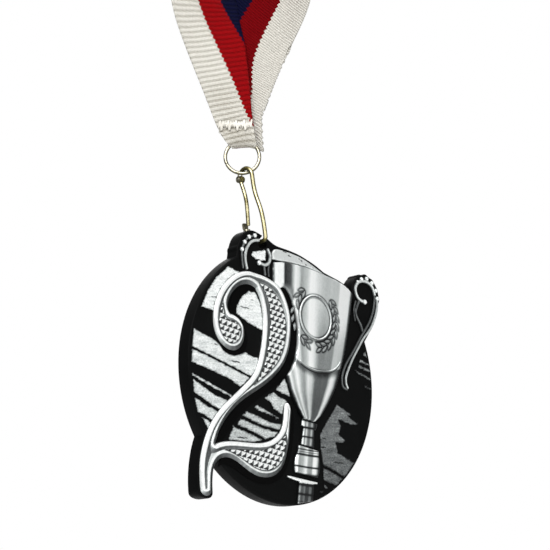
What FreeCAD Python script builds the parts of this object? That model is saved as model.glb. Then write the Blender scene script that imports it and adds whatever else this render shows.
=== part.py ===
import FreeCAD, Part
import math
import os

V = FreeCAD.Vector

# ---- driving dimensions, mm and degrees ----
disc_radius = 35.0
body_thickness = 4.26
hang_tilt = 6.7            # the medal hangs turned clockwise by this much
stroke_height = 0.15       # silver brush strokes
shadow_height = 0.18       # black pad beside the figure
figure_height = 0.7
panel_height = 0.12        # textured panels on the figure
bowl_height = 0.8
stem_height = 0.6
handle_half = 0.4          # half the width of a handle's main strand
strand_height = 0.5
bead_radius = 0.62
bead_height = 0.7
hole_centre = (-12.6, 33.9)
hole_radius = 1.5
hook_wire_radius = 0.62
hook_lean = 10.0           # the hook leans left at its top
hook_arch_radius = 2.35
hook_arch_y = 1.05         # middle of the arch, from the body's mid plane
hook_top = 21.6            # wire centre at the arch's top, above the hole
ring_wire_radius = 0.5
ring_radius = 4.7          # to the wire's centre
ring_clearance = 0.12
ribbon_width = 25.0
ribbon_thickness = 0.8
ribbon_gap = 1.55          # from the ring's plane to a strap's middle
facing = -44.5             # the ring and ribbon are turned by this about Z
arch_radius = 29.9         # neck loop at the top
twist_start = 54.0
twist_end = 92.0

os.makedirs("parts", exist_ok=True)

# Work in a frame at the disc's centre on the front face: X right, Y back,
# Z up. Everything moves to the neck loop's seat at the end.
mid_y = body_thickness / 2.0
tilt = math.radians(hang_tilt)


def hung(x, z, y=0.0):
    """A point of the upright design, turned with the hanging medal."""
    return V(x * math.cos(tilt) + z * math.sin(tilt), y,
             -x * math.sin(tilt) + z * math.cos(tilt))


def closed_wire(runs, y):
    """Closed outline from runs of points: two points make a line, more a smooth curve."""
    edges = []
    for i, run in enumerate(runs):
        last = runs[(i + 1) % len(runs)][0]
        points = [hung(px, pz, y) for px, pz in run]
        end = hung(last[0], last[1], y)
        if (points[-1] - end).Length > 1e-6:
            points.append(end)
        if len(points) == 2:
            edges.append(Part.makeLine(points[0], points[1]))
        else:
            curve = Part.BSplineCurve()
            curve.interpolate(points)
            edges.append(curve.toShape())
    return Part.Wire(edges)


def pad(runs, height, base=0.0):
    """Outline raised from the face by height."""
    return Part.Face(closed_wire(runs, base)).extrude(V(0, -height, 0))


def joined(shapes):
    whole = shapes[0]
    for other in shapes[1:]:
        whole = whole.fuse(other)
    return whole.removeSplitter()


def strand(points, radius, y):
    """Round strand through points of the design, half sunk in the face."""
    path = Part.BSplineCurve()
    path.interpolate([hung(px, pz, y) for px, pz in points])
    return swept(path.toShape(), radius)


def swept(edge, radius):
    """Round wire of a given radius along an edge or wire."""
    wire = edge if isinstance(edge, Part.Wire) else Part.Wire(edge)
    first = wire.OrderedEdges[0] if wire.Edges else wire
    start = first.valueAt(first.FirstParameter)
    along = first.tangentAt(first.FirstParameter)
    if first.Orientation == "Reversed":
        start = first.valueAt(first.LastParameter)
        along = first.tangentAt(first.LastParameter) * -1
    ring = Part.Wire(Part.makeCircle(radius, start, along))
    return wire.makePipeShell([ring], True, True)


# ---- the medal's body: disc, two lugs round the handles, and the figure's leg ----
def slab(runs):
    return Part.Face(closed_wire(runs, 0)).extrude(V(0, body_thickness, 0))


disc = Part.makeCylinder(disc_radius, body_thickness, V(0, 0, 0), V(0, 1, 0))
left_lug = slab([[(-26, 20), (-21.6, 28.3), (-21.3, 31.5), (-20.6, 33.6), (-18.9, 35.6),
                  (-16.2, 36.6), (-13.6, 36.4), (-11, 36.0), (-8.4, 35.2), (-5, 35.1), (0, 35.2),
                  (5, 34.6), (9.5, 33.4), (12.5, 32.9), (18, 32.4), (22, 31.4), (24.2, 30.4)],
                 [(24.2, 30.4), (24, 20)], [(24, 20), (-26, 20)]])
right_lug = slab([[(22, 20), (23.7, 30.4), (23.5, 32.6), (24.2, 34.4), (25.6, 36.0),
                   (28.7, 37.1), (32.0, 36.3), (34.2, 34.0), (35.0, 31.6), (34.6, 28.2),
                   (33.9, 25.4), (32.6, 21.8), (31, 18.7), (29, 15)], [(29, 15), (22, 20)]])
leg = slab([[(-25, -18), (-26.9, -23.2), (-27.6, -28), (-27.6, -32), (-26.9, -36.8)],
            [(-26.9, -36.8), (-26.2, -38.0), (-24.4, -38.4), (-22.4, -38.0), (-21.7, -36.8)],
            [(-21.7, -36.8), (-22.3, -33), (-22.1, -29), (-19.5, -24)],
            [(-19.5, -24), (-25, -18)]])
# small scallops, one round each bead on a handle's outer side
left_beads = [(-20.2, 29.9), (-19.5, 32.2), (-18.1, 34.1), (-16.1, 35.1)]
right_beads = [(26.6, 35.2), (28.7, 35.9), (31.0, 35.3), (32.9, 33.5), (33.7, 31.3)]
scallops = [Part.makeCylinder(1.55, body_thickness, hung(bx, bz), V(0, 1, 0))
            for bx, bz in left_beads + right_beads]
medal_body = joined([disc, left_lug, right_lug, leg] + scallops)
hole = Part.makeCylinder(hole_radius, body_thickness + 2, hung(hole_centre[0], hole_centre[1], -1),
                         V(0, 1, 0))
medal_body = medal_body.cut(hole)

# ---- the place figure: a swash two, its black side pad and three textured panels ----
figure_runs = [
    [(-12.6, 24.9), (-8.8, 24.6), (-4.6, 23.0), (-1.8, 19.9), (0.1, 15.8), (0.6, 11.5),
     (0.4, 7.6), (-1.2, 2.6), (-3.8, -1.0), (-8.6, -5.6), (-12.6, -8.7), (-16.3, -12.0),
     (-19.3, -15.6), (-21.6, -19.6), (-23.0, -24.2)],
    [(-23.0, -24.2), (-21.0, -23.2), (-16.5, -22.0), (-12, -21.3), (-8, -20.6), (-4, -19.2),
     (-1.4, -17.2), (0.1, -14.8), (0.5, -11.5), (0.4, -8.6)],
    [(0.4, -8.6), (1.3, -7.4), (2.7, -8.4), (3.2, -11.5), (3.3, -16), (3.0, -20.5), (1.9, -24.6),
     (-0.8, -27.7), (-4.0, -29.0), (-7.5, -29.2), (-11, -28.4), (-15, -27.0), (-18.5, -26.7),
     (-21.3, -28.0), (-22.8, -30.8), (-22.9, -34), (-22.6, -36.6)],
    [(-22.6, -36.6), (-23.4, -37.6), (-24.9, -37.8), (-26.2, -36.9)],
    [(-26.2, -36.9), (-27.1, -33), (-27.4, -29), (-26.9, -24.8), (-25.4, -19.8), (-22.4, -14.8),
     (-18.3, -10.2), (-14.4, -6.0), (-11.6, -2.2), (-10.4, 1.6), (-9.9, 6), (-9.9, 10.5),
     (-10.5, 14.4), (-11.9, 18.0), (-14.0, 20.6)],
    [(-14.0, 20.6), (-17.2, 20.9), (-20.4, 19.2), (-22.6, 16.2), (-23.3, 13.0), (-22.2, 11.2)],
    [(-22.2, 11.2), (-19.4, 10.8), (-17.2, 9.2), (-16.4, 6.8), (-16.9, 4.0), (-18.8, 2.1),
     (-21.6, 1.6), (-24.6, 2.8), (-27.0, 5.6), (-27.9, 9.2), (-27.6, 13.2), (-26.2, 17.0),
     (-23.8, 20.4), (-20.2, 23.4), (-16.6, 24.7)],
    [(-16.6, 24.7), (-12.6, 24.9)],
]
numeral_figure = pad(figure_runs, figure_height)

shadow_runs = [
    [[(-6, 22), (-3.4, 23.8), (-0.6, 21.2), (1.6, 17.2), (2.8, 12.5), (2.9, 7.4), (1.9, 3.0),
      (0.0, -0.4), (-3.4, -3.8), (-7.4, -7.2), (-11.4, -10.8), (-15.2, -14.6), (-17.8, -18.4),
      (-20.4, -22.6)],
     [(-20.4, -22.6), (-22.6, -23.4)],
     [(-22.6, -23.4), (-21, -19.0), (-17.6, -14.2), (-12.4, -9.2), (-6.6, -4.4), (-2.6, 0.0),
      (-0.8, 6.0), (-1.2, 13.0), (-3.4, 18.6), (-6, 22)]],
    [[(-22.4, 12.0), (-22.0, 16.2), (-19.6, 19.4), (-16.2, 21.0), (-13.6, 20.4)],
     [(-13.6, 20.4), (-15.2, 19.8), (-17.6, 18.6), (-19.6, 15.8), (-20.3, 12.2)],
     [(-20.3, 12.2), (-22.4, 12.0)]],
    [[(-17.0, 9.0), (-15.2, 6.4), (-15.6, 3.2), (-18.0, 1.0), (-21.4, 0.4), (-24.8, 2.2)],
     [(-24.8, 2.2), (-21, 4), (-17.0, 9.0)]],
    [[(3.2, -8.0), (4.4, -12), (4.6, -17), (4.0, -22.5), (2.2, -26.8), (-1.2, -29.8), (-6.4, -31.0),
      (-11.6, -30.2), (-16, -28.9), (-19, -28.7), (-21.2, -29.8)],
     [(-21.2, -29.8), (-19, -26), (-10, -27), (-3, -26), (1, -20), (3.2, -8.0)]],
]
numeral_shadow = Part.makeCompound([s for runs in shadow_runs
                                    for s in pad(runs, shadow_height).cut(numeral_figure).Solids
                                    if s.Volume > 0.05])

panel_base = -figure_height
numeral_panel_stroke = pad([
    [(-13.2, 22.4), (-10.4, 22.5), (-7.2, 21.4), (-4.6, 19.2), (-2.6, 16.0), (-1.7, 12.4),
     (-1.8, 8.4), (-3.0, 4.0), (-5.2, 0.6), (-8.2, -2.6), (-11.6, -5.6)],
    [(-11.6, -5.6), (-9.6, -2.2), (-8.4, 1.4), (-7.8, 5.6), (-7.6, 10.0), (-8.0, 14.4),
     (-9.2, 18.4), (-11.0, 20.8), (-13.2, 22.4)]], panel_height, panel_base)
numeral_panel_ball = pad([
    [(-25.4, 13.2), (-26.0, 10.6), (-25.8, 7.4), (-24.4, 4.8), (-22.0, 3.4), (-19.8, 3.8),
     (-18.2, 5.8), (-18.4, 8.4), (-20.4, 9.6), (-23.0, 9.4), (-24.4, 10.8)],
    [(-24.4, 10.8), (-25.4, 13.2)]], panel_height, panel_base)
numeral_panel_foot = pad([
    [(-19.6, -24.9), (-15.5, -23.9), (-11.5, -23.2), (-7.6, -22.4), (-4, -21.0), (-1.2, -19.0),
     (1.5, -16.3)],
    [(1.5, -16.3), (2.0, -19.4), (1.2, -22.8), (-1.0, -25.6), (-4.2, -27.2), (-8, -27.4),
     (-12, -26.4), (-15.6, -25.4), (-19.6, -24.9)]], panel_height, panel_base)

# ---- the cup: domed bowl, rim, waist band, round medallion, stem, knop and foot ----
cup_axis_x = 8.2
bowl_runs = [
    [(-8.3, 29.8), (-5, 30.8), (0, 31.5), (6, 31.8), (11, 31.8), (17, 31.6), (21, 30.9), (23.4, 29.8)],
    [(23.4, 29.8), (23.1, 24), (22.6, 18), (21.7, 11), (20.6, 6), (19, 0.8), (16.6, -4),
     (13.8, -8.4), (11.8, -10.4)],
    [(11.8, -10.4), (7.4, -10.4)],
    [(7.4, -10.4), (4.8, -7.6), (1.6, -3.4), (-1.6, 3.0), (-5, 12), (-7.2, 21), (-8.3, 29.8)],
]
half_chord = 16.0
dome_radius = (half_chord ** 2 + bowl_height ** 2) / (2 * bowl_height)
dome = Part.makeCylinder(dome_radius, 90, hung(cup_axis_x, -40, dome_radius - bowl_height - 0.4),
                         hung(0, 1) - hung(0, 0))
# the cup stands back from the figure and its black pad over their whole height
room_height = 3.0
figure_room = joined([pad(figure_runs, room_height)] + [pad(runs, room_height) for runs in shadow_runs])
cup_bowl = pad(bowl_runs, bowl_height + 0.4).common(dome).cut(figure_room)
cup_rim = pad([
    [(-8.9, 30.6), (-8.7, 33.2), (-5, 34.1), (0, 34.3), (5, 33.7), (10, 32.5), (12.5, 32.1)],
    [(12.5, 32.1), (6, 32.05), (0, 31.75), (-5, 31.05), (-8.9, 30.6)]], 0.5).cut(cup_bowl)
cup_band = strand([(3.9, 4.6), (6, 3.8), (9.5, 3.4), (13, 3.9), (16.4, 5.0), (18.4, 6.4), (20.0, 8.6)],
                  0.5, -bowl_height - 0.2).cut(cup_bowl).cut(figure_room)
cup_band = max(cup_band.Solids, key=lambda s: s.Volume)
medallion_centre = (8.7, 18.5)
cup_medallion = Part.makeTorus(6.1, 0.38, hung(medallion_centre[0], medallion_centre[1],
                                                -bowl_height - 0.32), V(0, 1, 0)).cut(cup_bowl)


def leaf(cx, cz, angle, length=2.5, width=0.95):
    """Leaf pad: pointed at both ends, set on the bowl at an angle from the right."""
    ca, sa = math.cos(math.radians(angle)), math.sin(math.radians(angle))

    def at(u, w):
        return (cx + u * ca - w * sa, cz + u * sa + w * ca)
    half = length / 2
    return pad([[at(-half, 0), at(0, width / 2), at(half, 0)],
                [at(half, 0), at(0, -width / 2), at(-half, 0)]], 0.45, -bowl_height - 0.1)


def wreath_leaves():
    """Leaves in pairs round the lower part of the medallion, pointing up each side."""
    leaves = []
    for side in (-1, 1):
        for step in range(9):
            turn = 14 + step * 15.0
            centre = math.radians(-90 + side * turn)
            along = -90 + side * turn + side * 90
            for off, splay in ((0.9, -26), (-0.55, 26)):
                reach = 8.1 + off
                leaves.append(leaf(medallion_centre[0] + reach * math.cos(centre),
                                   medallion_centre[1] + reach * math.sin(centre),
                                   along - side * splay))
    return leaves


clear = [s.cut(cup_bowl) for s in wreath_leaves() if s.distToShape(figure_room)[0] > 0.15]
cup_wreath = Part.makeCompound([s for leaf_pad in clear for s in leaf_pad.Solids])

cup_stem = pad([[(7.2, -10.6), (13.2, -10.6)], [(13.2, -10.6), (13.0, -12.4)],
                [(13.0, -12.4), (12.2, -12.6)], [(12.2, -12.6), (12.7, -17.6)],
                [(12.7, -17.6), (7.7, -17.6)], [(7.7, -17.6), (8.0, -12.6)],
                [(8.0, -12.6), (7.2, -12.4)], [(7.2, -12.4), (7.2, -10.6)]], stem_height)
cup_knop = pad([[(6.6, -17.8), (14.5, -17.8)], [(14.5, -17.8), (14.7, -19.6)],
                [(14.7, -19.6), (15.3, -21.2), (15.4, -23.4), (14.8, -25.4)],
                [(14.8, -25.4), (6.2, -25.6)],
                [(6.2, -25.6), (5.7, -23.4), (5.9, -21.2), (6.6, -19.6)],
                [(6.6, -19.6), (6.6, -17.8)]], stem_height + 0.2)
cup_foot = joined([
    pad([[(3.4, -26.8), (15.0, -26.4)], [(15.0, -26.4), (15.0, -27.0)],
         [(15.0, -27.0), (9, -27.7), (3.4, -27.4)], [(3.4, -27.4), (3.4, -26.8)]], 0.45),
    pad([[(8.0, -27.0), (13.8, -27.0)], [(13.8, -27.0), (13.8, -31.9)],
         [(13.8, -31.9), (8.0, -33.7)], [(8.0, -33.7), (8.0, -27.0)]], stem_height)])

# handles: flat-backed strands with round beads, all standing on the face
def strand_runs(points, half):
    """Outline of a strand: its middle line set off by half its width to each side."""
    path = Part.BSplineCurve()
    path.interpolate([V(px, 0, pz) for px, pz in points])
    count = 3 * len(points)
    left, right = [], []
    for i in range(count + 1):
        spot = path.FirstParameter + (path.LastParameter - path.FirstParameter) * i / count
        middle, run = path.value(spot), path.tangent(spot)[0]
        left.append((middle.x - run.z * half, middle.z + run.x * half))
        right.append((middle.x + run.z * half, middle.z - run.x * half))
    right.reverse()
    return [left, [left[-1], right[0]], right, [right[-1], left[0]]]


def handle_strand(points, half):
    return pad(strand_runs(points, half), strand_height)


def bead(bx, bz):
    return Part.makeCylinder(bead_radius, bead_height, hung(bx, bz, -bead_height), V(0, 1, 0))


handle_right = joined([
    handle_strand([(28.4, 28.9), (26.6, 28.7), (24.9, 29.9), (24.3, 32.0), (24.9, 33.9), (26.6, 34.9),
                   (28.8, 35.1), (31.0, 34.3), (32.4, 32.4), (32.9, 29.6), (32.3, 25.8), (30.6, 21.8),
                   (28.3, 17.6), (25.9, 13.6), (23.9, 9.8), (22.8, 6.6), (22.7, 3.8), (24.0, 1.9)],
                  handle_half),
    handle_strand([(26.7, 28.5), (25.3, 25.6), (25.6, 23.4), (27.2, 21.6), (28.9, 18.6)], 0.3)]
    + [bead(bx, bz) for bx, bz in right_beads + [(28.6, 28.8)]])
handle_right = joined([handle_right, handle_strand(
    [(33.7, 31.0), (33.4, 26.6), (32.2, 22.6), (30.2, 18.8), (28.0, 15.0), (25.8, 11.2), (24.4, 7.6)], 0.26)])

handle_left = joined([
    handle_strand([(-14.6, 34.2), (-16.6, 33.4), (-18.2, 31.6), (-18.9, 29.2), (-18.6, 26.8),
                   (-17.9, 25.2)], handle_half),
    handle_strand([(-20.1, 29.6), (-19.9, 27.6), (-19.3, 25.0)], 0.26),
    handle_strand([(-10.9, 32.6), (-9.8, 30.8), (-10.2, 28.9), (-11.6, 28.0), (-13.4, 28.1)],
                  handle_half),
    handle_strand([(-11.7, 28.2), (-11.4, 26.6), (-11.0, 25.4)], 0.3),
    handle_strand([(-20.1, 29.6), (-19.5, 32.1), (-18.1, 34.0), (-16.1, 35.0), (-14.5, 34.4)], 0.26)]
    + [bead(bx, bz) for bx, bz in left_beads + [(-13.6, 28.0)]]).cut(numeral_figure)

# ---- silver brush strokes on the black face ----
figure_cut = Part.makeCompound([numeral_figure, numeral_shadow, handle_left, handle_right])


def strokes(outlines):
    """Flat silver areas, cut back where the figure and its pad stand."""
    solids = []
    for points in outlines:
        runs = [[points[i], points[(i + 1) % len(points)]] for i in range(len(points))]
        area = pad(runs, stroke_height).cut(figure_cut)
        solids += [s for s in area.Solids if s.Volume > 0.02]
    return Part.makeCompound(solids)


brush_strokes_left = strokes([
    [(-24.4, 23.8), (-18.4, 23.2), (-22.4, 21.6), (-25.6, 17.6), (-27.6, 12.8), (-27.8, 10.4),
     (-32.3, 10.4), (-30.6, 15.4), (-28.0, 19.8)],
    [(-20.1, 12.0), (-15, 10.5), (-9.9, 9.8), (-10.2, 13), (-12, 17.6), (-14, 19.6),
     (-16.2, 19.2), (-18.6, 17.0), (-19.9, 14.2)],
    [(-34.0, 3.9), (-27.5, 3.0), (-20.2, 0.9), (-17.2, 1.2), (-15.6, 2.4), (-13.8, 2.0),
     (-10.3, 1.9), (-11.2, -1.6), (-12.6, -3.6), (-20, -2.5), (-29, -1.4), (-34.0, -0.9)],
    [(-34.0, -1.5), (-29, -1.9), (-20, -3.0), (-13.0, -4.0), (-16.0, -7.3), (-20, -6.1),
     (-27, -5.4), (-33.6, -4.9)],
    [(-33.2, -7.7), (-25.4, -9.0), (-18.6, -10.2), (-19.0, -10.7), (-26.0, -9.7), (-32.8, -8.4)],
    [(-32.6, -9.0), (-28.6, -10.4), (-24.6, -11.5), (-19.8, -11.9), (-22.2, -14.9), (-25.2, -14.4),
     (-29, -13.2), (-31.8, -12.6)],
    [(-31.4, -13.7), (-27, -14.9), (-22.4, -15.6), (-24.2, -18.4), (-28.2, -17.4), (-30.0, -17.3)],
    [(-28.4, -18.1), (-24.4, -19.0), (-25.2, -21.4), (-27.0, -19.6)],
    [(-16.2, 30.5), (-11.4, 32.4), (-11.3, 29.6), (-12.8, 28.8), (-16.5, 29.1)],
])
brush_strokes_middle = strokes([
    [(-0.4, -1.0), (-3.4, -4.9), (2.4, -5.6), (0.8, -2.4)],
    [(-4.0, -5.8), (-7.2, -8.1), (-4.6, -8.8), (-3.4, -10.2), (0.1, -11.0), (0.2, -8.6),
     (1.4, -6.9), (-2, -6.4)],
    [(-10.4, -11.3), (-9.4, -10.6), (-5, -11.4), (0.0, -12.5), (-5, -12.1), (-9, -12.0)],
    [(-14.6, -14.6), (-13, -13.2), (-10, -13.3), (-4, -14.1), (0.0, -13.6), (-0.4, -15.4),
     (-6.8, -15.6)],
    [(-15.0, -15.5), (-6.8, -16.2), (-1.0, -16.2), (-2.2, -17.6), (-5.4, -18.9), (-9.6, -18.1),
     (-16.0, -17.4)],
    [(-17.2, -18.2), (-10, -18.8), (-6.4, -19.5), (-9.4, -20.7), (-14, -21.4), (-18.6, -22.1)],
])
brush_strokes_right = strokes([
    [(20.6, -3.2), (26.8, -4.9), (25.2, -5.5), (30.0, -7.0), (26.6, -7.7), (21.6, -7.4),
     (22.8, -9.0), (22.2, -11.4), (24.8, -12.5), (24.2, -13.5), (21.2, -14.0), (22.4, -16.6),
     (29.2, -18.0), (27.4, -20.6), (25.7, -22.8), (21, -21.8), (16.9, -21.2), (15.4, -17.0),
     (14.8, -13.0), (17.4, -8.4)],
    [(17.0, -21.9), (21, -22.4), (25.2, -23.4), (22.6, -25.8), (17.4, -25.4)],
    [(17.2, -26.0), (20.0, -27.2), (18.2, -27.4)],
    [(15.6, -28.6), (19.0, -28.2), (17.0, -29.0)],
    [(30.4, 14.8), (31.6, 12.9), (29.6, 13.4)],
    [(28.5, 11.9), (32.3, 11.4), (32.7, 10.8), (28.2, 10.9)],
    [(28.0, 10.2), (32.9, 9.8), (33.1, 9.0), (28.2, 9.2)],
    [(26.6, 8.3), (33.3, 7.5), (33.5, 6.7), (28.2, 7.4)],
    [(31.0, 4.8), (33.8, 4.6), (33.8, 4.1), (31.2, 4.3)],
])

# ---- snap hook: bent wire through the hole, spring gate, catch and rivet ----
pin_lift = hole_radius - hook_wire_radius - 0.1
hole_middle = hung(hole_centre[0], hole_centre[1], mid_y)
lean = math.radians(hook_lean)
hook_up = V(-math.sin(lean), 0, math.cos(lean))
hook_origin = hole_middle + V(0, 0, 0)


def on_hook(y, s):
    """Point of the hook's plane: y from the body's mid plane, s up from the hole."""
    return hook_origin + V(0, y, 0) + hook_up * s


arch_middle_s = hook_top - hook_arch_radius
front_y = hook_arch_y - hook_arch_radius
rear_y = hook_arch_y + hook_arch_radius


def hook_arc(cy, cs, radius, a0, a1):
    """Arc in the hook's plane, angles in degrees from +y towards up."""
    pts = [on_hook(cy + radius * math.cos(math.radians(a)), cs + radius * math.sin(math.radians(a)))
           for a in (a0, (a0 + a1) / 2, a1)]
    return Part.Arc(*pts).toShape()


def hook_curve(points, start_dir=None, end_dir=None):
    curve = Part.BSplineCurve()
    args = {}
    if start_dir:
        args["InitialTangent"] = V(0, start_dir[0], 0) + hook_up * start_dir[1]
        args["FinalTangent"] = V(0, end_dir[0], 0) + hook_up * end_dir[1]
    curve.interpolate([on_hook(py, ps) for py, ps in points], **args)
    return curve.toShape()


bend = 1.1
front_leg_y = -3.45
rear_end_y = 3.35
hook_path = Part.Wire([
    hook_arc(hook_arch_y, arch_middle_s, hook_arch_radius, 12, 180),
    hook_curve([(front_y, arch_middle_s), (-1.62, 15.0), (-2.5, 8.8), (-3.3, 4.6),
                (front_leg_y, pin_lift + bend)], (0, -1), (0, -1)),
    hook_arc(front_leg_y + bend, pin_lift + bend, bend, 180, 270),
    Part.makeLine(on_hook(front_leg_y + bend, pin_lift), on_hook(rear_end_y - bend, pin_lift)),
    hook_arc(rear_end_y - bend, pin_lift + bend, bend, 270, 360),
    Part.makeLine(on_hook(rear_end_y, pin_lift + bend), on_hook(rear_end_y, 4.4))])
hook_wire = swept(hook_path, hook_wire_radius)

rivet_y, rivet_s = hook_arch_y + hook_arch_radius * math.cos(math.radians(12)), \
    arch_middle_s + hook_arch_radius * math.sin(math.radians(12))
hook_across = V(math.cos(lean), 0, math.sin(lean))
rivet_point = on_hook(rivet_y + 0.05, rivet_s - 0.75)
eye_outer, eye_inner, eye_half = 1.05, 0.45, 0.5
# the hook wire's rear end is flattened into two cheeks that hold the gate's eye
cheek = Part.makeCylinder(0.95, 0.35, rivet_point - hook_across * 0.95, hook_across).fuse(
    Part.makeCylinder(0.95, 0.35, rivet_point + hook_across * 0.6, hook_across))
bridge = Part.makeBox(1.9, 0.75, 0.45)
bridge.Placement = FreeCAD.Placement(
    on_hook(rivet_y - 0.35, rivet_s + 0.35) - hook_across * 0.95, FreeCAD.Rotation(V(0, 1, 0), -hook_lean))
hook_wire = hook_wire.cut(Part.makeCylinder(eye_outer + 0.12, 2 * eye_half + 0.16,
                                            rivet_point - hook_across * (eye_half + 0.08), hook_across))
hook_wire = max(hook_wire.Solids, key=lambda s: s.Volume)
hook_wire = joined([hook_wire, cheek, bridge])
hook_wire = hook_wire.cut(Part.makeCylinder(eye_inner, 4, rivet_point - hook_across * 2, hook_across))
hook_wire = hook_wire.cut(Part.makeCylinder(eye_outer + 0.12, 2 * eye_half + 0.16,
                                            rivet_point - hook_across * (eye_half + 0.08), hook_across))

eye = Part.makeCylinder(eye_outer, 2 * eye_half, rivet_point - hook_across * eye_half, hook_across)
gate_leg = swept(hook_curve([(rivet_y + 0.05, rivet_s - 1.3), (2.95, 16.9), (2.25, 13.6),
                             (2.3, 9.0), (2.55, 6.1)]), 0.55)
hook_gate = joined([eye, gate_leg]).cut(
    Part.makeCylinder(eye_inner, 4, rivet_point - hook_across * 2, hook_across))
hook_rivet = joined([
    Part.makeCylinder(eye_inner - 0.05, 2.1, rivet_point - hook_across * 1.05, hook_across),
    Part.makeCylinder(0.75, 0.25, rivet_point - hook_across * 1.22, hook_across),
    Part.makeCylinder(0.75, 0.25, rivet_point + hook_across * 0.97, hook_across)])
# catch: a cup on the wire's rear end, open towards the inside, that stops the gate
catch_floor = Part.makeCylinder(0.95, 1.1, on_hook(rear_end_y, 3.9), hook_up)
catch_back = Part.makeBox(2.0, 0.42, 1.9)
catch_back.Placement = FreeCAD.Placement(
    on_hook(rear_end_y + 0.25, 4.9) - hook_across * 1.0, FreeCAD.Rotation(V(0, 1, 0), -hook_lean))
hook_catch = joined([catch_floor, catch_back]).cut(hook_wire)

# ---- jump ring, hanging in the ribbon's fold ----
turn = math.radians(facing)
across = V(math.cos(turn), math.sin(turn), 0)
toward = V(math.sin(turn), -math.cos(turn), 0)
contact = on_hook(hook_arch_y, hook_top - hook_wire_radius - ring_wire_radius - ring_clearance)
contact_angle = math.radians(11.5)
ring_centre = contact - across * (ring_radius * math.sin(contact_angle)) \
    + V(0, 0, ring_radius * math.cos(contact_angle))
jump_ring = Part.makeTorus(ring_radius, ring_wire_radius, ring_centre, toward)


def on_ribbon(t, z, off=0.0):
    """Point of the ribbon's plane, from the hook's contact: t right, z up, off to the front."""
    return contact + across * t + V(0, 0, z) + toward * off


ring_t = -ring_radius * math.sin(contact_angle)
ring_top_z = ring_radius * (1 + math.cos(contact_angle))


# ---- ribbon: two straps, narrow fold round the ring, twist, and neck loop ----
def strap(outline, off):
    points = [on_ribbon(t, z, off - ribbon_thickness / 2) for t, z in outline]
    face = Part.Face(Part.makePolygon(points + [points[0]]))
    return face.extrude(toward * ribbon_thickness)


def strap_line(side, z):
    """Middle of a strap at height z: left leans 24 degrees, right 26."""
    return -9.7 - 0.445 * (z - 50) if side < 0 else 5.36 + 0.488 * (z - 50)


def strap_lean(side):
    return math.atan(0.445) * -1 if side < 0 else math.atan(0.488)


neck_z = ring_top_z + 3.4
half_neck = 2.1


def edge_point(side, z, half):
    """Point half a width outward from the strap's middle, square to its lean."""
    a = strap_lean(side)
    return (strap_line(side, z) + half * math.cos(a), z - half * math.sin(a))


def strap_outline(side):
    hw = ribbon_width / 2
    outer = edge_point(side, twist_start, hw * side)
    inner = edge_point(side, twist_start, -hw * side)
    if side < 0:
        return [(ring_t - half_neck, neck_z - 2.4), (-7.9, 11.9), (-9.9, 16.8), outer, inner,
                (-1.5, 46), (-1.65, 36.6), (0.1, 16.8), (1.6, 12.0), (ring_t + half_neck, neck_z - 2.4)]
    return [(ring_t + half_neck, neck_z - 2.4), (3.4, 12.0), (3.2, 17.4), outer, inner,
            (-6.5, 40), (-5.4, 30), (-5.6, 16.8), (-4.6, 12.0), (ring_t - half_neck, neck_z - 2.4)]


ribbon_strap_front = strap(strap_outline(-1), ribbon_gap)
ribbon_strap_back = strap(strap_outline(1), -ribbon_gap)

# fold: a U round the ring's top wire, open upwards, from strap to strap
fold_inner = ribbon_gap - ribbon_thickness / 2
fold_outer = ribbon_gap + ribbon_thickness / 2
ring_top = on_ribbon(ring_t, ring_top_z)
fold_tube = Part.makeCylinder(fold_outer, 2 * half_neck, ring_top - across * half_neck, across)
fold_tube = fold_tube.cut(Part.makeCylinder(fold_inner, 2 * half_neck, ring_top - across * half_neck,
                                            across))
lower = Part.makeBox(40, 40, 40, V(-20, -20, -40))
lower.Placement = FreeCAD.Placement(ring_top, FreeCAD.Rotation())
leg_height = neck_z - 2.4 - ring_top_z
sides = []
for off in (ribbon_gap, -ribbon_gap):
    quad = [on_ribbon(t, z, off - ribbon_thickness / 2) for t, z in
            ((ring_t - half_neck, ring_top_z), (ring_t + half_neck, ring_top_z),
             (ring_t + half_neck, ring_top_z + leg_height), (ring_t - half_neck, ring_top_z + leg_height))]
    sides.append(Part.Face(Part.makePolygon(quad + [quad[0]])).extrude(toward * ribbon_thickness))
ribbon_ring_fold = joined([fold_tube.common(lower)] + sides)

# bar tack: the thread block that sews both straps together above the ring
tack_z = ring_top_z + 5.4
tack = Part.makeBox(7.6, 2 * (ribbon_gap - ribbon_thickness / 2), 2.4)
tack.Placement = FreeCAD.Placement(
    on_ribbon(ring_t - 4.4, tack_z, ribbon_gap - ribbon_thickness / 2),
    FreeCAD.Rotation(V(0, 0, 1), facing))
ribbon_bar_tack = tack


def cross_section(side, z, spin):
    """Ribbon's rectangle across its run at height z, turned by spin about the run."""
    a = strap_lean(side)
    run = across * math.sin(a) + V(0, 0, math.cos(a))
    flat = across * math.cos(a) - V(0, 0, math.sin(a))
    s = math.radians(spin)
    wide = flat * math.cos(s) + toward * math.sin(s)
    thick = run.cross(wide)
    share = min(1.0, max(0.0, (z - twist_start) / (twist_end - twist_start)))
    centre = on_ribbon(strap_line(side, z), z, -side * ribbon_gap * (1 - share))
    corners = [centre + wide * (u * ribbon_width / 2) + thick * (v * ribbon_thickness / 2)
               for u, v in ((-1, -1), (1, -1), (1, 1), (-1, 1))]
    return Part.makePolygon(corners + [corners[0]])


def twist(side):
    """Quarter turn that brings the ribbon's face round to the loop."""
    count = 8
    sections = []
    for i in range(count + 1):
        share = i / count
        sections.append(cross_section(side, twist_start + (twist_end - twist_start) * share, 90 * share))
    return Part.makeLoft(sections, True, True)


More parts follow.
